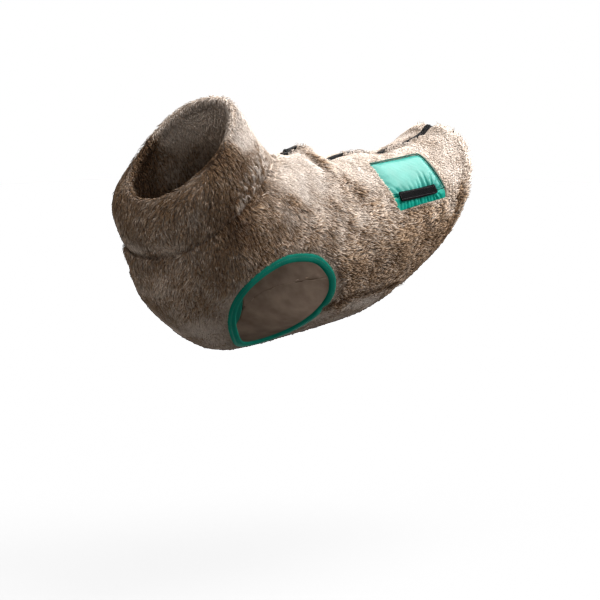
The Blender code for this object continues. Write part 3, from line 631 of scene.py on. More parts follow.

# %% [markdown]
# ## How the pile lies
#
# Plush has a lay: all its fibres lean away from the neck, as if stroked. The table below says
# which way a hand would stroke at some places of the left half, and how pale the pile is painted
# there: painted light where the lamps fall on it, along the back and the nape, and painted shade
# where they don't, as on the side of the collar. Between the places the values mix, and each tuft
# takes the mix that it finds at its root, with its direction laid flat on the cloth. A second
# table adds painted shade along creases, troughs and seams, and painted highlights on some ridges.

# %% The lay of the pile
DRIFT_WAVES = 9
LAY_BLEND = 12 * MM  # how far the mix reaches round a place of the table
SPLAY_WIDTH = 30 * MM  # from the midline to where the pile leans fully out
PALE_DRIFT = 0.30
PALE_DRIFT_SIZE = 38 * MM


def drift(points, size, seed):
    """A slow, smooth noise about 0, whose waves are about the given size."""
    draw = np.random.default_rng(seed)
    ways = unit(draw.normal(size=(DRIFT_WAVES, 3)))
    waves = ways * draw.uniform(0.6, 1.7, (DRIFT_WAVES, 1)) * math.tau / size
    shift = draw.uniform(0, math.tau, DRIFT_WAVES)
    return np.sin(points @ waves.T + shift).mean(1) * 2.0


PILE_LAY = [
    # y_mm, z_mm, out, tailward, up, pale: painted light where high, painted shade where low
    (-60, 60, 0.1, 0.6, -0.8, 1.1),  # collar, nape
    (-110, 70, 0.1, 0.5, -0.9, 1.9),
    (-125, 45, 0.1, 0.5, -0.9, 1.8),
    (-75, 10, 0.1, 0.6, -0.8, 0.5),
    (-110, -10, 0, 0.5, -0.9, 0.1),  # collar, side
    (-165, 5, 0, 0.45, -0.9, -0.9),
    (-150, -60, 0, 0.45, -0.9, -1.35),
    (-220, -30, -0.3, 0.2, -1, -0.2),  # collar, throat
    (-240, -80, -0.3, 0.1, -1, 0.1),
    (10, 10, 0.1, 1, 0, 1.1),  # back
    (80, 0, 0.1, 1, 0, 0.9),
    (150, 5, 0.1, 1, 0.1, 0.75),
    (220, 10, 0.1, 1, 0.2, 0.7),
    (280, 30, 0, 0.8, 0.5, 0.7),
    (-40, -25, 0, 0.9, -0.4, 1),  # shoulder
    (-70, -50, 0, 0.8, -0.5, 0.25),
    (-105, -85, 0, 0.7, -0.7, -0.5),
    (-190, -150, -0.5, 0.1, -1, 0.1),  # chest
    (-150, -210, -0.4, 0.5, -0.6, 0.4),
    (-20, -95, 0, 0.95, -0.3, 0),  # flank
    (40, -55, 0, 1, -0.1, 0.35),
    (90, -75, 0, 1, 0, 0.15),
    (50, -140, 0, 1, 0, -0.45),
    (130, -110, 0, 1, 0.1, -0.65),
    (170, -90, 0, 1, 0.1, -0.3),
    (200, -110, 0, 0.9, 0.3, -0.75),
    (235, -75, 0, 0.8, 0.4, 0.3),
    (245, -30, 0, 0.8, 0.5, 0.75),
    (-70, -236, 0, 1, 0, 0.55),  # belly
    (90, -215, 0, 1, 0.3, 0.55),
]

PAINTED_SHADE_AND_HIGHLIGHTS = [
    # how much paler, half width_mm, line: painted shade in creases, painted light on ridges and
    # bands
    (-2.2, 4.5, BELLY_SEAM),
    (-1.8, 3.5, BELLY_SEAM_RIGHT),
    (0.8, 8, [(72, 0, -204), (72, 40, -196), (66, 104, -188)]),
    (-0.8, 4, [(64, -84, -22), (75, -102, -36), (82, -125, -48), (85, -140, -54)]),
    (-1.0, 6, HEM_ALLOWANCE[1:]),
    (-0.7, 6, HEM_ALLOWANCE_RIGHT[1:]),
    (-0.9, 8, [(8, 20, 13), (26, 22, 7), (46, 26, -6)]),
    (-0.35, 4, [(46, 26, -6), (60, 32, -18), (72, 44, -34)]),
    (-0.7, 9, [(64, 56, -28), (74, 66, -40)]),
    (-0.5, 9, [(80, -70, -42), (86, -40, -56)]),
    (-0.4, 8, [(86, 12, -52), (90, 30, -66)]),
    (-0.5, 9, [(53, -91, 28), (72, -124, 16), (84, -146, -2)]),
    (0.35, 9, [(-36, -232, -96), (12, -238, -99), (50, -226, -96)]),
    (-0.6, 10, [(85, -150, -66), (84, -172, -105), (76, -170, -146)]),
    (-0.5, 8, [(-70, 84, -32), (-82, 96, -50)]),
    (0.4, 10, [(-66, -110, 0), (-84, -140, -24)]),
    (-0.5, 9, [(-84, 20, -50), (-92, 60, -80)]),
]


def lay_at(points, normals):
    """Unit directions along the cloth in which the pile leans, and its painted light and shade
    there.
    """
    rows = np.array(PILE_LAY)
    offset = points[:, None, 1:] - rows[:, :2] * MM
    weight = 1 / ((offset**2).sum(-1) + LAY_BLEND**2) ** 1.5
    mix = weight @ rows[:, 2:] / weight.sum(1, keepdims=True)
    lay, pale = mix[:, :3], mix[:, 3]
    lay[:, 0] *= np.clip(points[:, 0] / SPLAY_WIDTH, -1, 1)
    lay -= normals * (lay * normals).sum(1, keepdims=True)
    for paler, half_width, line in PAINTED_SHADE_AND_HIGHLIGHTS:
        pale = pale + paler * near_line(points, line, half_width)
    return unit(lay), pale + PALE_DRIFT * drift(points, PALE_DRIFT_SIZE, 7)


print(len(PILE_LAY), "places of the lay,", len(PAINTED_SHADE_AND_HIGHLIGHTS), "painted_shade_and_highlight_marks")

# %% [markdown]
# ## Tufts
#
# Fibres of plush cling together in slim tufts. A tuft here is a small spindle: its root is a
# point sunk in the cloth, it swells to three sides where the pile is highest, and from there it
# lies down along the lay to a point. Six triangles make one, so a whole coat can be covered.
# Neighbours lean together into locks, which is what gives plush its grain of light tips and dark
# gaps. Beside the collar's seam the locks curl up, and along the flanks they are combed long.
# The collar's lowest tufts hang over the seam, and those of the body are rooted under them, so
# the seam shows as a soft line and not as a bare edge. Beside the zip the pile stands up and
# closes over the tape, except where the coat is pulled flat and the zip shows. Each piece of
# cloth gets one mesh of tufts. The tuft's own tone and the height along it are kept in a UV
# map, so the colour can darken towards the root.

# %% Scattering, and one mesh from many tufts
SPINDLE = [(2, 1, 4), (3, 2, 4), (1, 3, 4), (1, 2, 0), (2, 3, 0), (3, 1, 0)]
SPINDLE_HEIGHT = np.array([0.0, 0.5, 0.5, 0.5, 1.0])
SPINDLE_POINTS = len(SPINDLE_HEIGHT)


def scatter(points, corners, spacing, draw):
    """Even but unruly places on triangles: about one for each square of the spacing."""
    a, b, c = (points[corners[:, k]] for k in range(3))
    area = np.linalg.norm(np.cross(b - a, c - a), axis=1) / 2
    count = np.floor(area / spacing**2 + draw.random(len(area))).astype(int)
    chosen = np.repeat(np.arange(len(corners)), count)
    u, v = draw.random((2, len(chosen)))
    beyond = u + v > 1
    u, v = np.where(beyond, 1 - u, u), np.where(beyond, 1 - v, v)
    return chosen, np.stack([1 - u - v, u, v], 1)


def at_weights(values, corners, chosen, weights):
    return (values[corners[chosen]] * weights[..., None]).sum(1)


def nearest_of(points, seeds):
    tree = KDTree(len(seeds))
    for index, seed in enumerate(seeds):
        tree.insert(seed, index)
    tree.balance()
    return np.array([tree.find(point)[1] for point in points])


def tuft_mesh(name, root, ring, tip, tone, pale):
    """One mesh of spindles, from the arrays of their roots, rings of three and tips."""
    count = len(tip)
    points = np.concatenate([root[:, None], ring, tip[:, None]], axis=1)
    loops = np.array(SPINDLE).ravel()
    mesh = bpy.data.meshes.new(name)
    mesh.vertices.add(count * SPINDLE_POINTS)
    mesh.vertices.foreach_set("co", points.astype(np.float32).ravel())
    mesh.loops.add(count * len(loops))
    all_loops = loops + SPINDLE_POINTS * np.arange(count)[:, None]
    mesh.loops.foreach_set("vertex_index", all_loops.astype(np.int32).ravel())
    mesh.polygons.add(count * len(SPINDLE))
    starts = np.arange(count * len(SPINDLE), dtype=np.int32) * 3
    mesh.polygons.foreach_set("loop_start", starts)
    mesh.polygons.foreach_set("use_smooth", np.ones(len(starts), bool))
    uv = np.empty((count, len(loops), 2), np.float32)
    uv[..., 0] = tone[:, None]
    uv[..., 1] = SPINDLE_HEIGHT[loops]
    mesh.uv_layers.new(name="tuft").data.foreach_set("uv", uv.ravel())
    shade = mesh.attributes.new("pale", "FLOAT", "POINT")
    shade.data.foreach_set("value", np.repeat(pale, SPINDLE_POINTS).astype(np.float32))
    mesh.validate()
    mesh.update()
    return in_scene(name, mesh)


# %% Where the pile changes
ZIP_SHOWS = [
    # y_mm, and how far the pile leaves the zip open there, from 1 to 0, or below 0
    # where it stands up over the tape
    (-22, 0.5), (-2, 0.8), (3, 1.0), (6, 0.8), (9, -0.6), (20, -0.6), (22, 0.2), (25, -0.4),
    (32, -0.4), (36, 0.0), (82, 0.0), (88, 1.4), (106, 1.4), (110, -0.5), (165, -0.5), (171, 0.6),
    (184, 0.4), (190, -0.7), (224, -0.7), (229, 0.1), (256, 0.3), (261, 1.0),
]
CURLED_LINE = [(58, -84, 6), (72, -105, -4), (81, -124, -17), (86, -141, -34), (88, -153, -47)]
CURLED_REACH = 14
STREAKED_LINE = [(94, -10, -72), (96, 60, -84), (95, 150, -104)]
STREAKED_REACH = 50
ZIP_NEAR, ZIP_REACH = 1, 7  # mm from the zip over which its pile changes
seam_trees = {
    "body_left": tree_of("chest", "collar", "binding_left", "zip_left"),
    "body_right": tree_of("chest", "collar", "binding_right", "zip_right"),
    "chest": tree_of("body_left", "body_right", "collar", "binding_left", "binding_right"),
    "collar": tree_of("zip_left", "zip_right"),
}


def over_zip(points):
    """How far the pile beside the zip closes over it: 0 leaves it open, 1 covers it."""
    beside = 1 - clear_of(zip_tree, points, ZIP_NEAR, ZIP_REACH)
    return beside * (1 - np.interp(points[:, 1] / MM, *np.array(ZIP_SHOWS).T))


def short_at_trims(points):
    """Full length, but clipped short beside the bindings, the zip and the pocket."""
    share = 0.22 + 0.78 * clear_of(trim_tree, points, 1, 9)
    beside_zip = 1 - clear_of(zip_tree, points, ZIP_NEAR, ZIP_REACH)
    share *= 1 - 0.7 * (beside_zip - over_zip(points))
    share *= 0.18 + 0.82 * clear_of(pocket_tree, points, 0.5, 9)
    return np.where(distance_to(pocket_tree, points) < 0.7 * MM, 0.0, share)


def inside_collar(points):
    """The collar's fleece is turned over the rim, so its inside carries a thinner pile."""
    return np.full(len(points), 0.8)


# %% Measures of the tufts
LENGTHS = (0.75, 1.2)  # shares of a pile's own measure, between which its tufts vary
HEIGHTS = (0.7, 1.2)
WIDTHS = (0.75, 1.2)
TIP_HEIGHTS = (0.5, 1.2)
SHORTEST = 0.05  # share of the full length under which no tuft grows
FACES_IN, FACES_OUT, SURELY_OUT = 0.1, -0.5, 0.3  # how far a triangle faces out of the hollow
ROOT_SUNK = 0.8 * MM
BEND_AT = 0.45  # share of the length at which a tuft is highest
TALLEST = 5.5 * MM
TALL_SHARE, TALL_BY = 0.06, 1.7  # some tufts stand up above the rest
RING_RISE = 0.6
SWIRLS = [(0.40, 45 * MM, 5), (0.22, 16 * MM, 6)]  # turn, size of the swirls, seed
STRAY = 0.12
CURLED_STRAY = 2.0
STREAKED_LONGER = 0.45
ZIP_COVER = 3.6
ZIP_LONGER = 0.3
ZIP_LEAN = 0.7
PALE_IS_SMOOTH = 0.8  # how pale the pile is where it lies fully smooth
SMOOTH_INSIDE = 0.4
SMOOTH_LOWER = 0.68
COLLAR_HANGS_OVER = 9
THROAT_Z = -90 * MM
THROAT_REACH = 25 * MM
HANG_HIGHER = 1.3
HANG_LIFT = 2.5 * MM
HANG_LEAST_HIGH = 1.3 * MM
ROOTS_UNDER_COLLAR = 6 * MM
UNDER_COLLAR_REACH = 9
UNDER_COLLAR_HIGHER = 0.9
TUFTS_PER_LOCK = 6
LOCK_REACH = 7 * MM
LOCK_PULL = (0.3, 0.7)
TIP_RISE = 0.3
# of the curled locks, this share gets a painted highlight and the rest painted shade
CURLS_PAINTED_LIT = 0.48  # share of the curled locks that show their pale side
CURL_PAINTED_LIGHT, CURL_PAINTED_SHADE = 1.8, -0.7
INSIDE_PAINTED_SHADE = 0.35


# %% Steps of growing
def roots_on(node, grown, spacing, inward, draw):
    """Roots on the outer or the inner side of a fleece piece, but none inside a seam."""
    mesh = cloth[node].data
    points, normals, corners = points_of(mesh), normals_of(mesh), triangles_of(mesh)
    a, b, c = (points[corners[:, k]] for k in range(3))
    facing = outward_share((a + b + c) / 3, unit(np.cross(b - a, c - a)))
    if inward:
        corners = corners[facing < FACES_IN]
    else:
        corners, facing = corners[facing > FACES_OUT], facing[facing > FACES_OUT]
        gap = distance_to(seam_trees[node], points[corners].mean(1))
        corners = corners[(facing > SURELY_OUT) | (gap > SEAM_REACH)]
    chosen, weights = scatter(points, corners, spacing, draw)
    root = at_weights(points, corners, chosen, weights)
    out = unit(at_weights(normals, corners, chosen, weights))
    share = grown(root)
    kept = share > SHORTEST
    return root[kept], out[kept], share[kept, None]


def combed(root, out, lay, closing, curled, draw):
    """The way in which each tuft lies: over the zip, in slow swirls, and a little astray."""
    lay = lay - ZIP_LEAN * closing * np.sign(root[:, :1]) * (1.0, 0, 0)
    lay = unit(lay - out * (lay * out).sum(1, keepdims=True))
    turned = sum(share * drift(root, size, seed) for share, size, seed in SWIRLS)
    turned += draw.normal(0, STRAY, len(root)) * (1 + CURLED_STRAY * curled[:, 0])
    return unit(lay + np.cross(out, lay) * turned[:, None])


def hung_over_seam(root, long, high):
    """Makes the collar's lowest tufts higher and longer, and says how far each one droops."""
    hanging = 1 - clear_of(body_tree, root, 0, COLLAR_HANGS_OVER)[:, None]
    above = eased((root[:, 2:] - THROAT_Z) / THROAT_REACH)
    droop = above * hanging
    long = long * (1 + (0.3 + 0.7 * above) * hanging)
    high = np.maximum(high * (1 + HANG_HIGHER * hanging), HANG_LEAST_HIGH * droop)
    return long, high, droop


def tucked_under_collar(root, lay, high):
    """Moves the body's tufts at the neck under the collar's and lets them stand higher."""
    at_collar = 1 - clear_of(collar_tree, root, 0, UNDER_COLLAR_REACH)[:, None]
    moved = root - lay * ROOTS_UNDER_COLLAR * at_collar
    return moved, high * (1 + UNDER_COLLAR_HIGHER * at_collar)


def shades_of(pale, leader, smooth, curled, draw):
    """Each tuft's tone, half of it that of its lock, and its painted light and painted shade."""
    count = len(pale)
    lock_tone = draw.random(count)[leader]
    tone = 0.5 * lock_tone + 0.5 * draw.random(count)
    tone = 0.5 + (tone - 0.5) * (1 - 0.82 * smooth + 0.5 * curled)
    pale = pale + (0.10 + 0.22 * (1 - smooth)) * draw.normal(size=count)
    painted_lit_curl = draw.random(count)[leader] < CURLS_PAINTED_LIT
    return tone, pale + curled * np.where(painted_lit_curl, CURL_PAINTED_LIGHT, CURL_PAINTED_SHADE)


# %% Grow a pile of tufts
def grow_pile(name, node, grown, spacing, length, width, height, seed, inward=False):
    """A pile on a fleece piece. grown(points) is the share of its full length at each root."""
    draw = np.random.default_rng(seed)
    root, out, share = roots_on(node, grown, spacing, inward, draw)
    each = (len(root), 1)
    lay, pale = lay_at(root, out)
    curled = near_line(root, CURLED_LINE, CURLED_REACH)[:, None] * (not inward)
    on_left = np.column_stack([np.abs(root[:, 0]), root[:, 1:]])
    streaked = near_line(on_left, STREAKED_LINE, STREAKED_REACH)[:, None]
    closing = over_zip(root)[:, None] * (not inward)
    smooth = np.clip(pale / PALE_IS_SMOOTH, 0, 1)[:, None] * (SMOOTH_INSIDE if inward else 1.0)
    lay = combed(root, out, lay, closing, curled, draw)
    long = length * draw.uniform(*LENGTHS, each) * np.minimum(share, 1)
    long *= (1 + STREAKED_LONGER * streaked) * (1 + ZIP_LONGER * np.maximum(closing, 0))
    high = height * draw.uniform(*HEIGHTS, each) * (0.4 + 0.6 * share)
    high *= (1 - SMOOTH_LOWER * smooth) * (1 + curled) * (1 + ZIP_COVER * closing)
    droop = 0.0
    if node != "collar":
        root, high = tucked_under_collar(root, lay, high)
    elif not inward:
        long, high, droop = hung_over_seam(root, long, high)
    high = np.minimum(high * np.where(draw.random(each) < TALL_SHARE, TALL_BY, 1.0), TALLEST)
    wide = width * draw.uniform(*WIDTHS, each) * (0.6 + 0.4 * np.minimum(share, 1))
    wide *= 1 + 0.5 * droop
    lift = HANG_LIFT * droop
    bend = root + lay * long * (BEND_AT - 0.25 * droop) + out * (high + lift * 0.5)
    tip_high = high * draw.uniform(*TIP_HEIGHTS, each) * (1 - 0.6 * smooth)
    tip = root + lay * long + out * (tip_high + lift)
    leaders = draw.choice(len(root), max(1, len(root) // TUFTS_PER_LOCK), replace=False)
    leader = leaders[nearest_of(root, root[leaders])]
    together = draw.uniform(*LOCK_PULL, each) * (1 - 0.6 * smooth)
    together *= np.linalg.norm(tip[leader] - tip, axis=1, keepdims=True) < LOCK_REACH
    tip += (tip[leader] - tip) * together
    bend += (bend[leader] - bend) * together * 0.4
    tip += out * high * TIP_RISE * (1 - together) * (1 - smooth)
    beside = unit(np.cross(out, tip - root))
    ring = bend[:, None] + np.stack([-beside, out * RING_RISE, beside], 1) * wide[:, None] / 2
    tone, pale = shades_of(pale, leader, smooth[:, 0], curled[:, 0], draw)
    # painted shade over the whole inside of the collar
    if inward:
        pale -= INSIDE_PAINTED_SHADE
    return tuft_mesh(name, root - out * ROOT_SUNK, ring, tip, tone, pale)


# %% The five piles
PILE = {"spacing": 1.68 * MM, "length": 10.0 * MM, "width": 1.35 * MM, "height": 1.45 * MM}
THIN_PILE = {"spacing": 2.1 * MM, "length": 10.0 * MM, "width": 1.9 * MM, "height": 1.5 * MM}
pile = [
    grow_pile("pile_left", "body_left", short_at_trims, seed=1, **PILE),
    grow_pile("pile_right", "body_right", short_at_trims, seed=2, **PILE),
    grow_pile("pile_chest", "chest", short_at_trims, seed=3, **PILE),
    grow_pile("pile_collar", "collar", short_at_trims, seed=4, **PILE),
    grow_pile("pile_collar_inside", "collar", inside_collar, seed=5, inward=True, **THIN_PILE),
]
for piece in pile:
    print(piece.name, len(triangles_of(piece.data)), "triangles")

# %% [markdown]
# ## Colours of the fleece
#
# The fibres are dyed taupe, darker towards the root, which is painted shade where they crowd,
# and paler at the tip. Two ramps run along the tuft, one in painted shade and one in painted
# light, and the value kept on each tuft mixes them. Between the tufts shows the knit ground, with
# the same painted light and shade. The inside of the body is the flat back of the knit, and the
# collar is plush on both sides.

# %% Pile material
# the pile in painted shade, then in painted light; each darkens to the root as painted shade
PILE_IN_PAINTED_SHADE = [(0.0, (0.052, 0.028, 0.013)), (0.5, (0.180, 0.108, 0.058)), (1.0, (0.50, 0.36, 0.235))]
PILE_IN_PAINTED_LIGHT = [(0.0, (0.53, 0.45, 0.39)), (0.5, (0.66, 0.59, 0.535)), (1.0, (0.765, 0.71, 0.665))]
TUFT_TONES = [(0.0, (0.55, 0.52, 0.50)), (1.0, (1.45, 1.45, 1.45))]
# scales the colour darker in the deepest painted shade and brighter in the strongest painted light
PAINTED_SHADE_AND_SHEEN = [
    (0.0, (0.54, 0.45, 0.39)), (0.37, (1.0, 0.98, 0.95)), (0.55, (1.0, 0.97, 0.935)),
    (0.8, (1.0, 1.0, 1.0)), (1.0, (1.1, 1.1, 1.1)),
]


def pile_material():
    made, tree, shader = new_material(
        "fleece_pile", (0.36, 0.27, 0.20), 0.85, 0.15, Sheen_Weight=0.15, Sheen_Roughness=0.35,
        Sheen_Tint=(1.0, 0.93, 0.86, 1),
    )
    uv = add_node(tree, "ShaderNodeUVMap", uv_map="tuft").outputs["UV"]
    tuft = add_node(tree, "ShaderNodeSeparateXYZ", Vector=uv).outputs
    pale = add_node(tree, "ShaderNodeAttribute", attribute_name="pale").outputs["Fac"]
    share = add_node(
        tree, "ShaderNodeMapRange", interpolation_type="SMOOTHSTEP", From_Min=-0.5, From_Max=1.15,
        Value=pale,
    )
    # the painted light value, spread over the painted shade and sheen scale
    turned = add_node(tree, "ShaderNodeMapRange", From_Min=-1.6, From_Max=1.9, Value=pale)
    shaded = add_node(
        tree, "ShaderNodeMix", data_type="RGBA", Factor=share.outputs["Result"],
        A=ramp(tree, tuft["Y"], PILE_IN_PAINTED_SHADE), B=ramp(tree, tuft["Y"], PILE_IN_PAINTED_LIGHT),
    )
    colour = shaded.outputs["Result"]
    for value, stops in ((tuft["X"], TUFT_TONES), (turned.outputs["Result"], PAINTED_SHADE_AND_SHEEN)):
        toned = add_node(
            tree, "ShaderNodeMix", data_type="RGBA", blend_type="MULTIPLY", Factor=1.0,
            A=colour, B=ramp(tree, value, stops),
        )
        colour = toned.outputs["Result"]
    tree.links.new(colour, shader.inputs["Base Color"])
    return made


# %% Ground and back of the knit
def ground_material():
    """The knit ground between the tufts, in the pile's painted light and shade."""
    made, tree, shader = new_material("fleece_ground", (0.12, 0.085, 0.06), 0.95, 0.1)
    pale = add_node(tree, "ShaderNodeAttribute", attribute_name="pale").outputs["Fac"]
    loops = texture(tree, "ShaderNodeTexVoronoi", Scale=900.0).outputs["Distance"]
    uneven = combined(tree, "ADD", pale, loops)
    # painted light and shade, roughened by the knit's loops
    share = add_node(tree, "ShaderNodeMapRange", From_Min=-0.2, From_Max=1.5, Value=uneven)
    shades = [(0.0, (0.07, 0.042, 0.026)), (1.0, (0.66, 0.55, 0.46))]
    colour = ramp(tree, share.outputs["Result"], shades)
    tree.links.new(colour, shader.inputs["Base Color"])
    bumpy(tree, shader, loops, 0.6, 0.3)
    return made


def back_material():
    """The flat back of the knit, inside the coat: small loops, and a slow change of tone."""
    made, tree, shader = new_material("fleece_back", (0.24, 0.175, 0.13), 0.95, 0.15)
    mottled(tree, shader, (0.25, 0.185, 0.14), (0.15, 0.105, 0.075), 45.0, detail=5.0)
    loops = texture(tree, "ShaderNodeTexVoronoi", Scale=800.0).outputs["Distance"]
    bumpy(tree, shader, loops, 0.5, 0.35)
    return made


# %% Give the fleece its finishes
PILE_LOOK, GROUND_LOOK, BACK_LOOK = pile_material(), ground_material(), back_material()
for piece in pile:
    piece.data.materials.append(PILE_LOOK)
    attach(piece, "coat")

for name, piece in cloth.items():
    mesh = piece.data
    mesh.materials.append(GROUND_LOOK)
    mesh.materials.append(BACK_LOOK)
    # the cloth under the pile carries the same painted light and shade as its pile
    _, pale = lay_at(points_of(mesh), normals_of(mesh))
    shade = mesh.attributes.new("pale", "FLOAT", "POINT")
    shade.data.foreach_set("value", pale.astype(np.float32))
    outward = outward_share(array_of(mesh.polygons, "center"), array_of(mesh.polygons, "normal"))
    inner = (outward < -0.2) & (name != "collar")
    mesh.polygons.foreach_set("material_index", inner.astype(np.int32))
    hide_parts(name)
    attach(piece, "coat")
    print(piece.name, int(inner.sum()), "faces show the back of the knit")

# %% [markdown]
# ## Sewn-on trims: shared steps
#
# The trims start from their solids too. Where an edge is sharp it is marked with a crease before
# subdivision, which keeps it crisp while the faces round off. Thread and zip teeth repeat by the
# hundred, so one is modelled and then copied along a line into a single mesh.


def trim_from(node, name, levels, crease, look):
    piece = copy_of(node, name)
    mesh = piece.data
    edit_sharp_edges(piece)
    bpy.ops.transform.edge_crease(value=crease)
    done()
    subdivided(piece, levels)
    move_points(mesh, folded(points_of(mesh)))
    mesh.materials.append(FINISH[look])
    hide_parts(node)
    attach(piece, "coat")
    print(piece.name, len(triangles_of(mesh)), "triangles")
    return piece


def model_of(piece):
    """The points and faces of a small modelled thing, which is then removed."""
    points = points_of(piece.data)
    faces = [tuple(face.vertices) for face in piece.data.polygons]
    mesh = piece.data
    bpy.data.objects.remove(piece)
    bpy.data.meshes.remove(mesh)
    return points, faces


def copies(name, model, places, look):
    """One mesh of many copies. places are (point, along, across, out) with unit directions."""
    points, faces = model
    sides = np.array([place[1:] for place in places])
    centres = np.array([place[0] for place in places])
    moved = centres[:, None] + np.einsum("vi,nij->nvj", points, sides)
    mesh = bpy.data.meshes.new(name)
    shifted = [
        tuple(corner + len(points) * k for corner in face)
        for k in range(len(places))
        for face in faces
    ]
    mesh.from_pydata(moved.reshape(-1, 3).tolist(), [], shifted)
    mesh.polygons.foreach_set("use_smooth", np.ones(len(mesh.polygons), bool))
    mesh.materials.append(FINISH[look])
    piece = in_scene(name, mesh)
    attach(piece, "coat")
    print(name, len(places), "copies,", len(triangles_of(mesh)), "triangles")


def evenly(line, step, closed=False):
    """Points at even steps along a line, and the line's directions there."""
    line = np.asarray(line)
    if closed:
        line = np.vstack([line, line[:1]])
    lengths = np.linalg.norm(np.diff(line, axis=0), axis=1)
    run = np.concatenate([[0], np.cumsum(lengths)])
    count = max(2, int(round(run[-1] / step)))
    stops = np.arange(count + (not closed)) * run[-1] / count

    def at(stops):
        return np.stack([np.interp(stops, run, line[:, k]) for k in range(3)], 1)

    ahead, behind = at(stops + 0.3 * step), at(stops - 0.3 * step)
    return at(stops), unit(ahead - behind)


# %% One stitch
STITCH_LENGTH = 2.4 * MM
STITCH_THICK = 0.55 * MM
STITCH_RISE = 0.1  # share of its thickness by which a stitch's middle stands off the cloth


def new_stitch():
    bpy.ops.mesh.primitive_uv_sphere_add(segments=6, ring_count=4, radius=0.5)
    made = bpy.context.object
    edit(made)
    turn("Y", math.pi / 2)
    bpy.ops.transform.resize(value=(STITCH_LENGTH, STITCH_THICK, STITCH_THICK))
    done()
    return model_of(made)


STITCH = new_stitch()
print("a stitch has", len(STITCH[1]), "faces")


def seam_of_stitches(name, line, surface, look, step):
    """A closed row of stitches laid on a surface along a line near it."""
    tree = tree_of_meshes(surface)
    places = []
    for point, along in zip(*evenly(line, step, closed=True)):
        on_cloth, out, _, _ = tree.find_nearest(Vector(point))
        out = unit(np.array(out))
        along = unit(along - out * (along @ out))
        centre = np.array(on_cloth) + out * STITCH_THICK * STITCH_RISE
        places.append((centre, along, np.cross(out, along), out))
    copies(name, STITCH, places, look)


# %% [markdown]
# ## Green binding of the armholes
#
# A strip of emerald stretch knit is folded over the raw edge of each armhole and sewn down with
# one row of thread. The strip's own ribs are very fine, so they are a bump in the finish. The
# thread is real geometry: a row of stitches along the strip's outer edge.

# %% Binding
ARMHOLE_STOPS = 96
ARMHOLE_BLEND = 0.09  # radians round the ring that each stop of its middle line takes in
ROW_OUT = 3.3 * MM  # from the middle of the strip to the stitches
ROW_LIFT = 6 * MM
BINDING_STEP = 3.2 * MM


def ring_through(points, stops):
    """Middle line of a ring-shaped strip, and the directions out from the ring's centre."""
    centre = points.mean(0)
    _, _, axes = np.linalg.svd(points - centre, full_matrices=False)
    flat = (points - centre) @ axes[:2].T
    angle = np.arctan2(flat[:, 1], flat[:, 0])
    line = []
    for stop in np.linspace(-math.pi, math.pi, stops, endpoint=False):
        gap = np.abs((angle - stop + math.pi) % math.tau - math.pi)
        near = np.exp(-((gap / ARMHOLE_BLEND) ** 2))
        line.append((points * near[:, None]).sum(0) / near.sum())
    line = np.array(line)
    return line, unit(line - centre)


for side, _ in SIDES:
    strip = trim_from(f"binding_{side}", f"armhole_binding_{side}", 2, 0.35, "binding_knit")
    middle, outward = ring_through(points_of(strip.data), ARMHOLE_STOPS)
    row = middle + from_hollow(middle) * ROW_LIFT + outward * ROW_OUT
    seam_of_stitches(
        f"binding_stitches_{side}", row, strip.data, "green_thread", BINDING_STEP
    )

# %% [markdown]
# ## Zip
#
# The zip is a nylon coil sewn to two black woven tapes. A coil zip shows two rows of small
# slanting humps that meet in the middle. One hump is modelled from a cube with bevelled edges,
# and copies of it follow the line of the coil in two rows, half a step apart.

# %% Zip
HUMP_SIZE = (3.3 * MM, 0.95 * MM, 0.9 * MM)
HUMP_BEVEL = 0.3 * MM
HUMP_STEP = 1.5 * MM
HUMP_SLANT = math.radians(12)
COIL_ROW = 1.45 * MM
COIL_RUN = np.arange(-20.5, 282, 0.5) * MM
ABOVE = 0.2


def new_hump():
    bpy.ops.mesh.primitive_cube_add(size=1)
    made = bpy.context.object
    edit(made)
    bpy.ops.transform.resize(value=HUMP_SIZE)
    bpy.ops.mesh.bevel(offset=HUMP_BEVEL, segments=1)
    turn("Z", HUMP_SLANT)
    done()
    return model_of(made)


def coil_path(tape, sign):
    """Line of the coil on a tape, found from above, or a little farther out if it's missed."""
    tree = tree_of_meshes(tape.data)
    path = []
    for y in COIL_RUN:
        for x in (COIL_ROW, COIL_ROW + 1.0 * MM, COIL_ROW + 2.0 * MM):
            found = tree.ray_cast(Vector((sign * x, y, ABOVE)), Vector((0, 0, -1)))[0]
            if found is not None:
                path.append((sign * x, found.y, found.z))
                break
    return path


HUMP = new_hump()
for side, sign in SIDES:
    tape = trim_from(f"zip_{side}", f"zip_tape_{side}", 2, 0.75, "zip_tape")
    points, along = evenly(coil_path(tape, sign), HUMP_STEP)
    if side == "right":
        points = points + along * HUMP_STEP / 2
    across = np.array([sign * 1.0, 0, 0])
    places = []
    for point, tangent in zip(points[:-1], along):
        along_zip = unit(tangent - across * (tangent @ across))
        out = np.cross((1.0, 0, 0), along_zip)
        # the model's X runs across the zip, its Y along it
        places.append((point, across, along_zip * sign, out))
    copies(f"zip_teeth_{side}", HUMP, places, "zip_coil")

# %% [markdown]
# ## Slider and pull tab
#
# The slider is a small casting: two plates with a post between them, low flanges that press the
# coil together, and a bridge over the top. The tab hangs from that bridge and swings, so it
# belongs to its own body. Each plate starts as a cube at its size, is narrowed towards the closed
# end of the zip and bevelled. The bridge is half a ring, cut with a bisect.

# %% Slider: frame and finish
SLIDER_PIVOT = np.array([0.0, 9.75, 9.68]) * MM
EYE_OVER_DECK = 1.35  # mm
OFF_THE_BRIDGE = 3.9 * MM  # beside this, the slider's solid is only its two plates
PLATE_HALF = 6 * MM

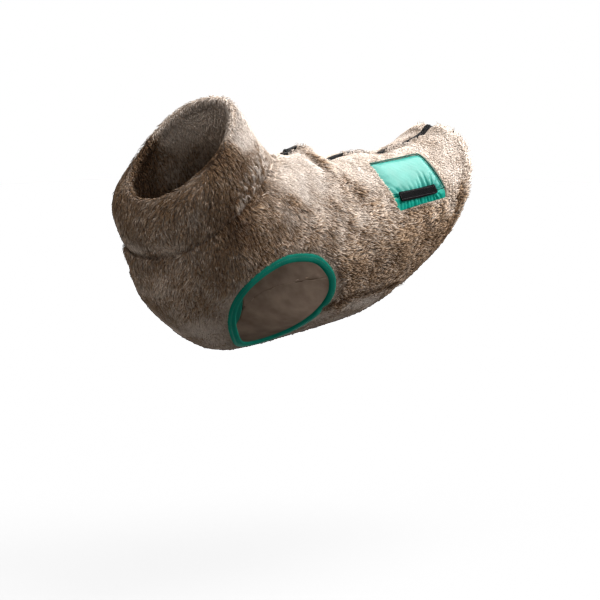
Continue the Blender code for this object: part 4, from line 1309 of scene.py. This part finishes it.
LACQUER, lacquer_tree, lacquer_shader = new_material(
    "slider_lacquer", (0.02, 0.02, 0.022), 0.3, Metallic=0.6
)
mottled(lacquer_tree, lacquer_shader, (0.026, 0.026, 0.028), (0.012, 0.012, 0.013), 300.0)
worn = texture(lacquer_tree, "ShaderNodeTexNoise", Scale=900.0, Detail=2.0)
bumpy(lacquer_tree, lacquer_shader, worn.outputs["Fac"], 0.15, 0.05)


def in_midplane(way):
    """A direction turned straight along the zip, with nothing sideways."""
    return unit(np.array([0.0, way[1], way[2]]))


slider_points = points_of(frame["nodes"]["slider"].data)
plates = slider_points[np.abs(slider_points[:, 0]) > OFF_THE_BRIDGE]
longest = np.linalg.svd(plates - plates.mean(0), full_matrices=False)[2][0]
slider_way = in_midplane(longest * np.sign(longest[1]))
print("slider leans", round(math.degrees(math.asin(slider_way[2])), 1), "degrees")


def set_in(piece, way):
    """Puts a piece modelled about the world's origin on the pivot, with its Y along the way."""
    up = np.cross((1.0, 0, 0), way)
    turned = np.stack([np.cross(way, up), way, up])
    move_points(piece.data, SLIDER_PIVOT + points_of(piece.data) @ turned)
    piece.data.materials.append(LACQUER)


def bar(name, size, place, bevel, segments, tail_share):
    """A block with rounded edges, narrowed to a share of its width at its tail end."""
    bpy.ops.mesh.primitive_cube_add(size=1)
    made = bpy.context.object
    edit(made)
    made.name = name
    bpy.ops.transform.resize(value=tuple(x * MM for x in size))
    bpy.ops.transform.translate(value=tuple(x * MM for x in place))
    done()
    apply_modifier(made, "BEVEL", width=bevel * MM, segments=segments, limit_method="NONE")
    points = points_of(made.data)
    back = eased((points[:, 1] + PLATE_HALF) / (2 * PLATE_HALF))
    points[:, 0] *= 1 - (1 - tail_share) * back
    move_points(made.data, points)
    return made


# %% Slider: casting
DECK = -EYE_OVER_DECK
TAIL_SHARE = 0.72
CASTING = [
    # name, size_mm, place_mm, bevel_mm, steps of the bevel, share of its width at the tail
    ("slider_upper", (8, 12, 1.3), (0, 0, DECK - 0.65), 0.45, 3, TAIL_SHARE),
    ("slider_lower", (8, 12, 1.3), (0, 0, DECK - 6.2), 0.45, 3, TAIL_SHARE),
    ("slider_post", (2.8, 2.4, 4.4), (0, -4.4, DECK - 3.4), 0.4, 2, 1.0),
    ("slider_flange_left", (0.9, 10.5, 1.5), (3.45, 0.2, DECK - 1.8), 0.3, 2, TAIL_SHARE),
    ("slider_flange_right", (0.9, 10.5, 1.5), (-3.45, 0.2, DECK - 1.8), 0.3, 2, TAIL_SHARE),
]
BRIDGE_RADIUS = 3.15 * MM
BRIDGE_BAR = 0.62 * MM
BRIDGE_WIDER = 1.7

parts = [bar(*row) for row in CASTING]
bpy.ops.mesh.primitive_torus_add(
    major_segments=28, minor_segments=10, major_radius=BRIDGE_RADIUS, minor_radius=BRIDGE_BAR
)
bridge = bpy.context.object
bridge.name = "slider_bridge"
edit(bridge)
turn("Y", math.pi / 2)
bpy.ops.mesh.bisect(
    plane_co=(0, 0, -0.4 * MM), plane_no=(0, 0, 1), clear_inner=True, use_fill=True
)
bpy.ops.mesh.select_all(action="SELECT")
bpy.ops.transform.resize(value=(BRIDGE_WIDER, 1.0, 1.0))
bpy.ops.transform.translate(value=(0, 0, (DECK + 0.3) * MM))
done()
for piece in [*parts, bridge]:
    piece.select_set(True)
slider = parts[0]
bpy.context.view_layer.objects.active = slider
bpy.ops.object.join()
slider.name = "zip_slider"
set_in(slider, slider_way)
only(slider)
bpy.ops.object.shade_smooth_by_angle(angle=math.radians(40))
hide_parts("slider")
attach(slider, "coat")
print("slider", len(triangles_of(slider.data)), "triangles")

# %% Pull tab
TAB_ROWS = [
    # y_mm, half width_mm
    (-0.75, 2.9), (0.75, 2.9), (7.0, 2.9), (9.0, 3.0), (14.0, 3.0), (18.5, 3.0), (20.8, 2.6),
    (22.0, 1.5),
]
TAB_WINDOW_HALF = 1.75 * MM
TAB_WINDOW = (0.75 * MM, 7 * MM)
TAB_THICKNESS = 1.5 * MM

tab_points = points_of(frame["nodes"]["pull_tab"].data)
reach = np.linalg.norm(tab_points - SLIDER_PIVOT, axis=1)
tab_way = in_midplane(tab_points[reach > 0.6 * reach.max()].mean(0) - SLIDER_PIVOT)
bpy.ops.mesh.primitive_grid_add(x_subdivisions=3, y_subdivisions=len(TAB_ROWS) - 1, size=1)
tab = bpy.context.object
tab.name = "zip_pull_tab"
points = points_of(tab.data)
rows = np.round((points[:, 1] + 0.5) * (len(TAB_ROWS) - 1)).astype(int)
table = np.array(TAB_ROWS) * MM
outer = np.abs(points[:, 0]) > 0.4
half = np.where(outer, table[rows, 1], TAB_WINDOW_HALF * table[rows, 1] / table[0, 1])
points = np.stack([np.sign(points[:, 0]) * half, table[rows, 0], 0 * half], 1)
move_points(tab.data, points)
edit(tab, "DESELECT")
done()
for face in tab.data.polygons:
    in_window = TAB_WINDOW[0] < face.center.y < TAB_WINDOW[1]
    face.select = abs(face.center.x) < 0.5 * MM and in_window
bpy.ops.object.mode_set(mode="EDIT")
bpy.ops.mesh.delete(type="FACE")
done()
apply_modifier(tab, "SOLIDIFY", thickness=TAB_THICKNESS, offset=0)
apply_modifier(tab, "BEVEL", width=0.35 * MM, segments=2, limit_method="ANGLE")
subdivided(tab, 1)
set_in(tab, tab_way)
only(tab)
bpy.ops.object.shade_smooth_by_angle(angle=math.radians(50))
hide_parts("pull_tab")
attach(tab, "tab")
print("tab", len(triangles_of(tab.data)), "triangles")

# %% [markdown]
# ## Satin pocket
#
# The pocket is a thin mint satin panel with a narrower band under it. Both were sewn a little
# full, so the satin puckers: short creases fan out from the seam under the label, and the band is
# gathered along its lower edge. The creases are a table of lines on the panel.

# %% Pocket
LABEL_CENTRE = np.array([86.2, 168.8, -48.5]) * MM
SEAM_WAY = unit(np.array([0.0, 0.995, 0.098]))  # along the seam, to the tail
POCKET_UP = unit(np.array([-0.62, -0.076, 0.78]))  # over the panel, to the back
PUCKER_FADE = 0.75  # share of its rise that a pucker has lost at its end

PUCKERS = [
    # along_mm and up_mm where it starts, then where it ends, rise_mm, half width_mm
    (-36, 3, -44, 2, -3.0, 1.9),
    (-30, 7, -38, 17, -0.8, 2.4),
    (-20, 7, -24, 18, -0.5, 2.6),
    (-9, 7, -11, 15, -0.6, 2.0),
    (-2, 7, -1, 24, -0.5, 2.6),
    (6, 7, 8, 18, -1.1, 1.7),
    (13, 7, 17, 26, -1.5, 1.9),
    (19, 7, 22, 33, 1.0, 2.1),
    (23, 7, 27, 28, -2.1, 1.7),
    (28, 7, 33, 22, 1.1, 1.8),
    (31, 7, 38, 24, -2.1, 1.6),
    (36, 5, 44, 14, -1.9, 1.8),
    (38, 0, 48, 4, -1.8, 1.8),
    (-36, -7, -40, -17, -1.4, 1.8),
    (-31, -7, -33, -17, -1.0, 2.0),
    (-24, -7, -28, -18, -1.9, 1.5),
    (-19, -7, -19, -13, -1.1, 1.3),
    (-11, -7, -14, -18, -1.5, 2.1),
    (-4, -7, -3, -16, -0.9, 1.4),
    (1, -7, 3, -18, -1.9, 1.6),
    (9, -7, 8, -14, -0.9, 1.9),
    (15, -7, 17, -18, -2.0, 1.5),
    (20, -7, 22, -18, -1.2, 1.3),
    (27, -7, 28, -17, -1.8, 1.9),
    (32, -7, 35, -16, -1.9, 1.6),
    (38, -5, 43, -12, -1.6, 1.5),
]


def puckered(piece):
    points, normals = points_of(piece.data), normals_of(piece.data)
    offset = points - LABEL_CENTRE
    place = np.stack([offset @ SEAM_WAY, offset @ POCKET_UP], 1)
    outward = eased(outward_share(points, normals) / 0.5)
    rise = np.zeros(len(points))
    for *ends, height, half_width in PUCKERS:
        start, end = np.array(ends).reshape(2, 2) * MM
        away, along = beside_run(place, start, end)
        gap = np.linalg.norm(away, axis=1)
        fade = 1 - PUCKER_FADE * along
        rise += height * MM * fade * np.exp(-((gap / (half_width * MM)) ** 2))
    ripple = 0.05 * drift(points, 9 * MM, 31) + 0.25 * drift(points, 26 * MM, 32)
    points += normals * (outward * (rise + ripple * MM))[:, None]
    move_points(piece.data, points)


puckered(trim_from("pocket_panel", "pocket_satin", 3, 0.5, "mint_satin"))
puckered(trim_from("pocket_band", "pocket_satin_band", 3, 0.5, "mint_satin_band"))
trim_from("pocket_edge", "pocket_folded_edge", 2, 0.5, "pocket_fold")

# %% [markdown]
# ## Label
#
# A bare black strip is sewn over the pocket's seam. It is a tight woven tape with rounded
# corners. A line of thread runs round it just inside its edge.

# %% Label
LABEL_ROW_HALF = np.array([33.3, 4.6]) * MM  # half the length and width of the row of thread
LABEL_STEP = 2.9 * MM
LABEL_LIFT = 4 * MM

label = trim_from("label", "blank_label", 2, 0.4, "label_weave")
corners = np.array([(1, 1), (1, -1), (-1, -1), (-1, 1)]) * LABEL_ROW_HALF
over_label = LABEL_CENTRE + unit(np.cross(SEAM_WAY, POCKET_UP)) * LABEL_LIFT
border = [over_label + a * SEAM_WAY + b * POCKET_UP for a, b in corners]
seam_of_stitches("label_stitches", border, label.data, "label_thread", LABEL_STEP)

# %% [markdown]

# %% [markdown]
# ## Size of the dressed coat
#
# The pile fills the room that the solids keep for it. The two sizes are set side by side, and how
# far the coat has grown beyond the solids is printed, so that a coat which has grown too much is
# noticed at once.

# %% Size of the dressed coat
low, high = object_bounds()
size = {"cad": [list(cad_low), list(cad_high)], "visual": [list(low), list(high)]}
grown = [round((a - b) / MM, 1) for a, b in zip([*cad_low, *high], [*low, *cad_high])]
print("grown by, mm:", grown)
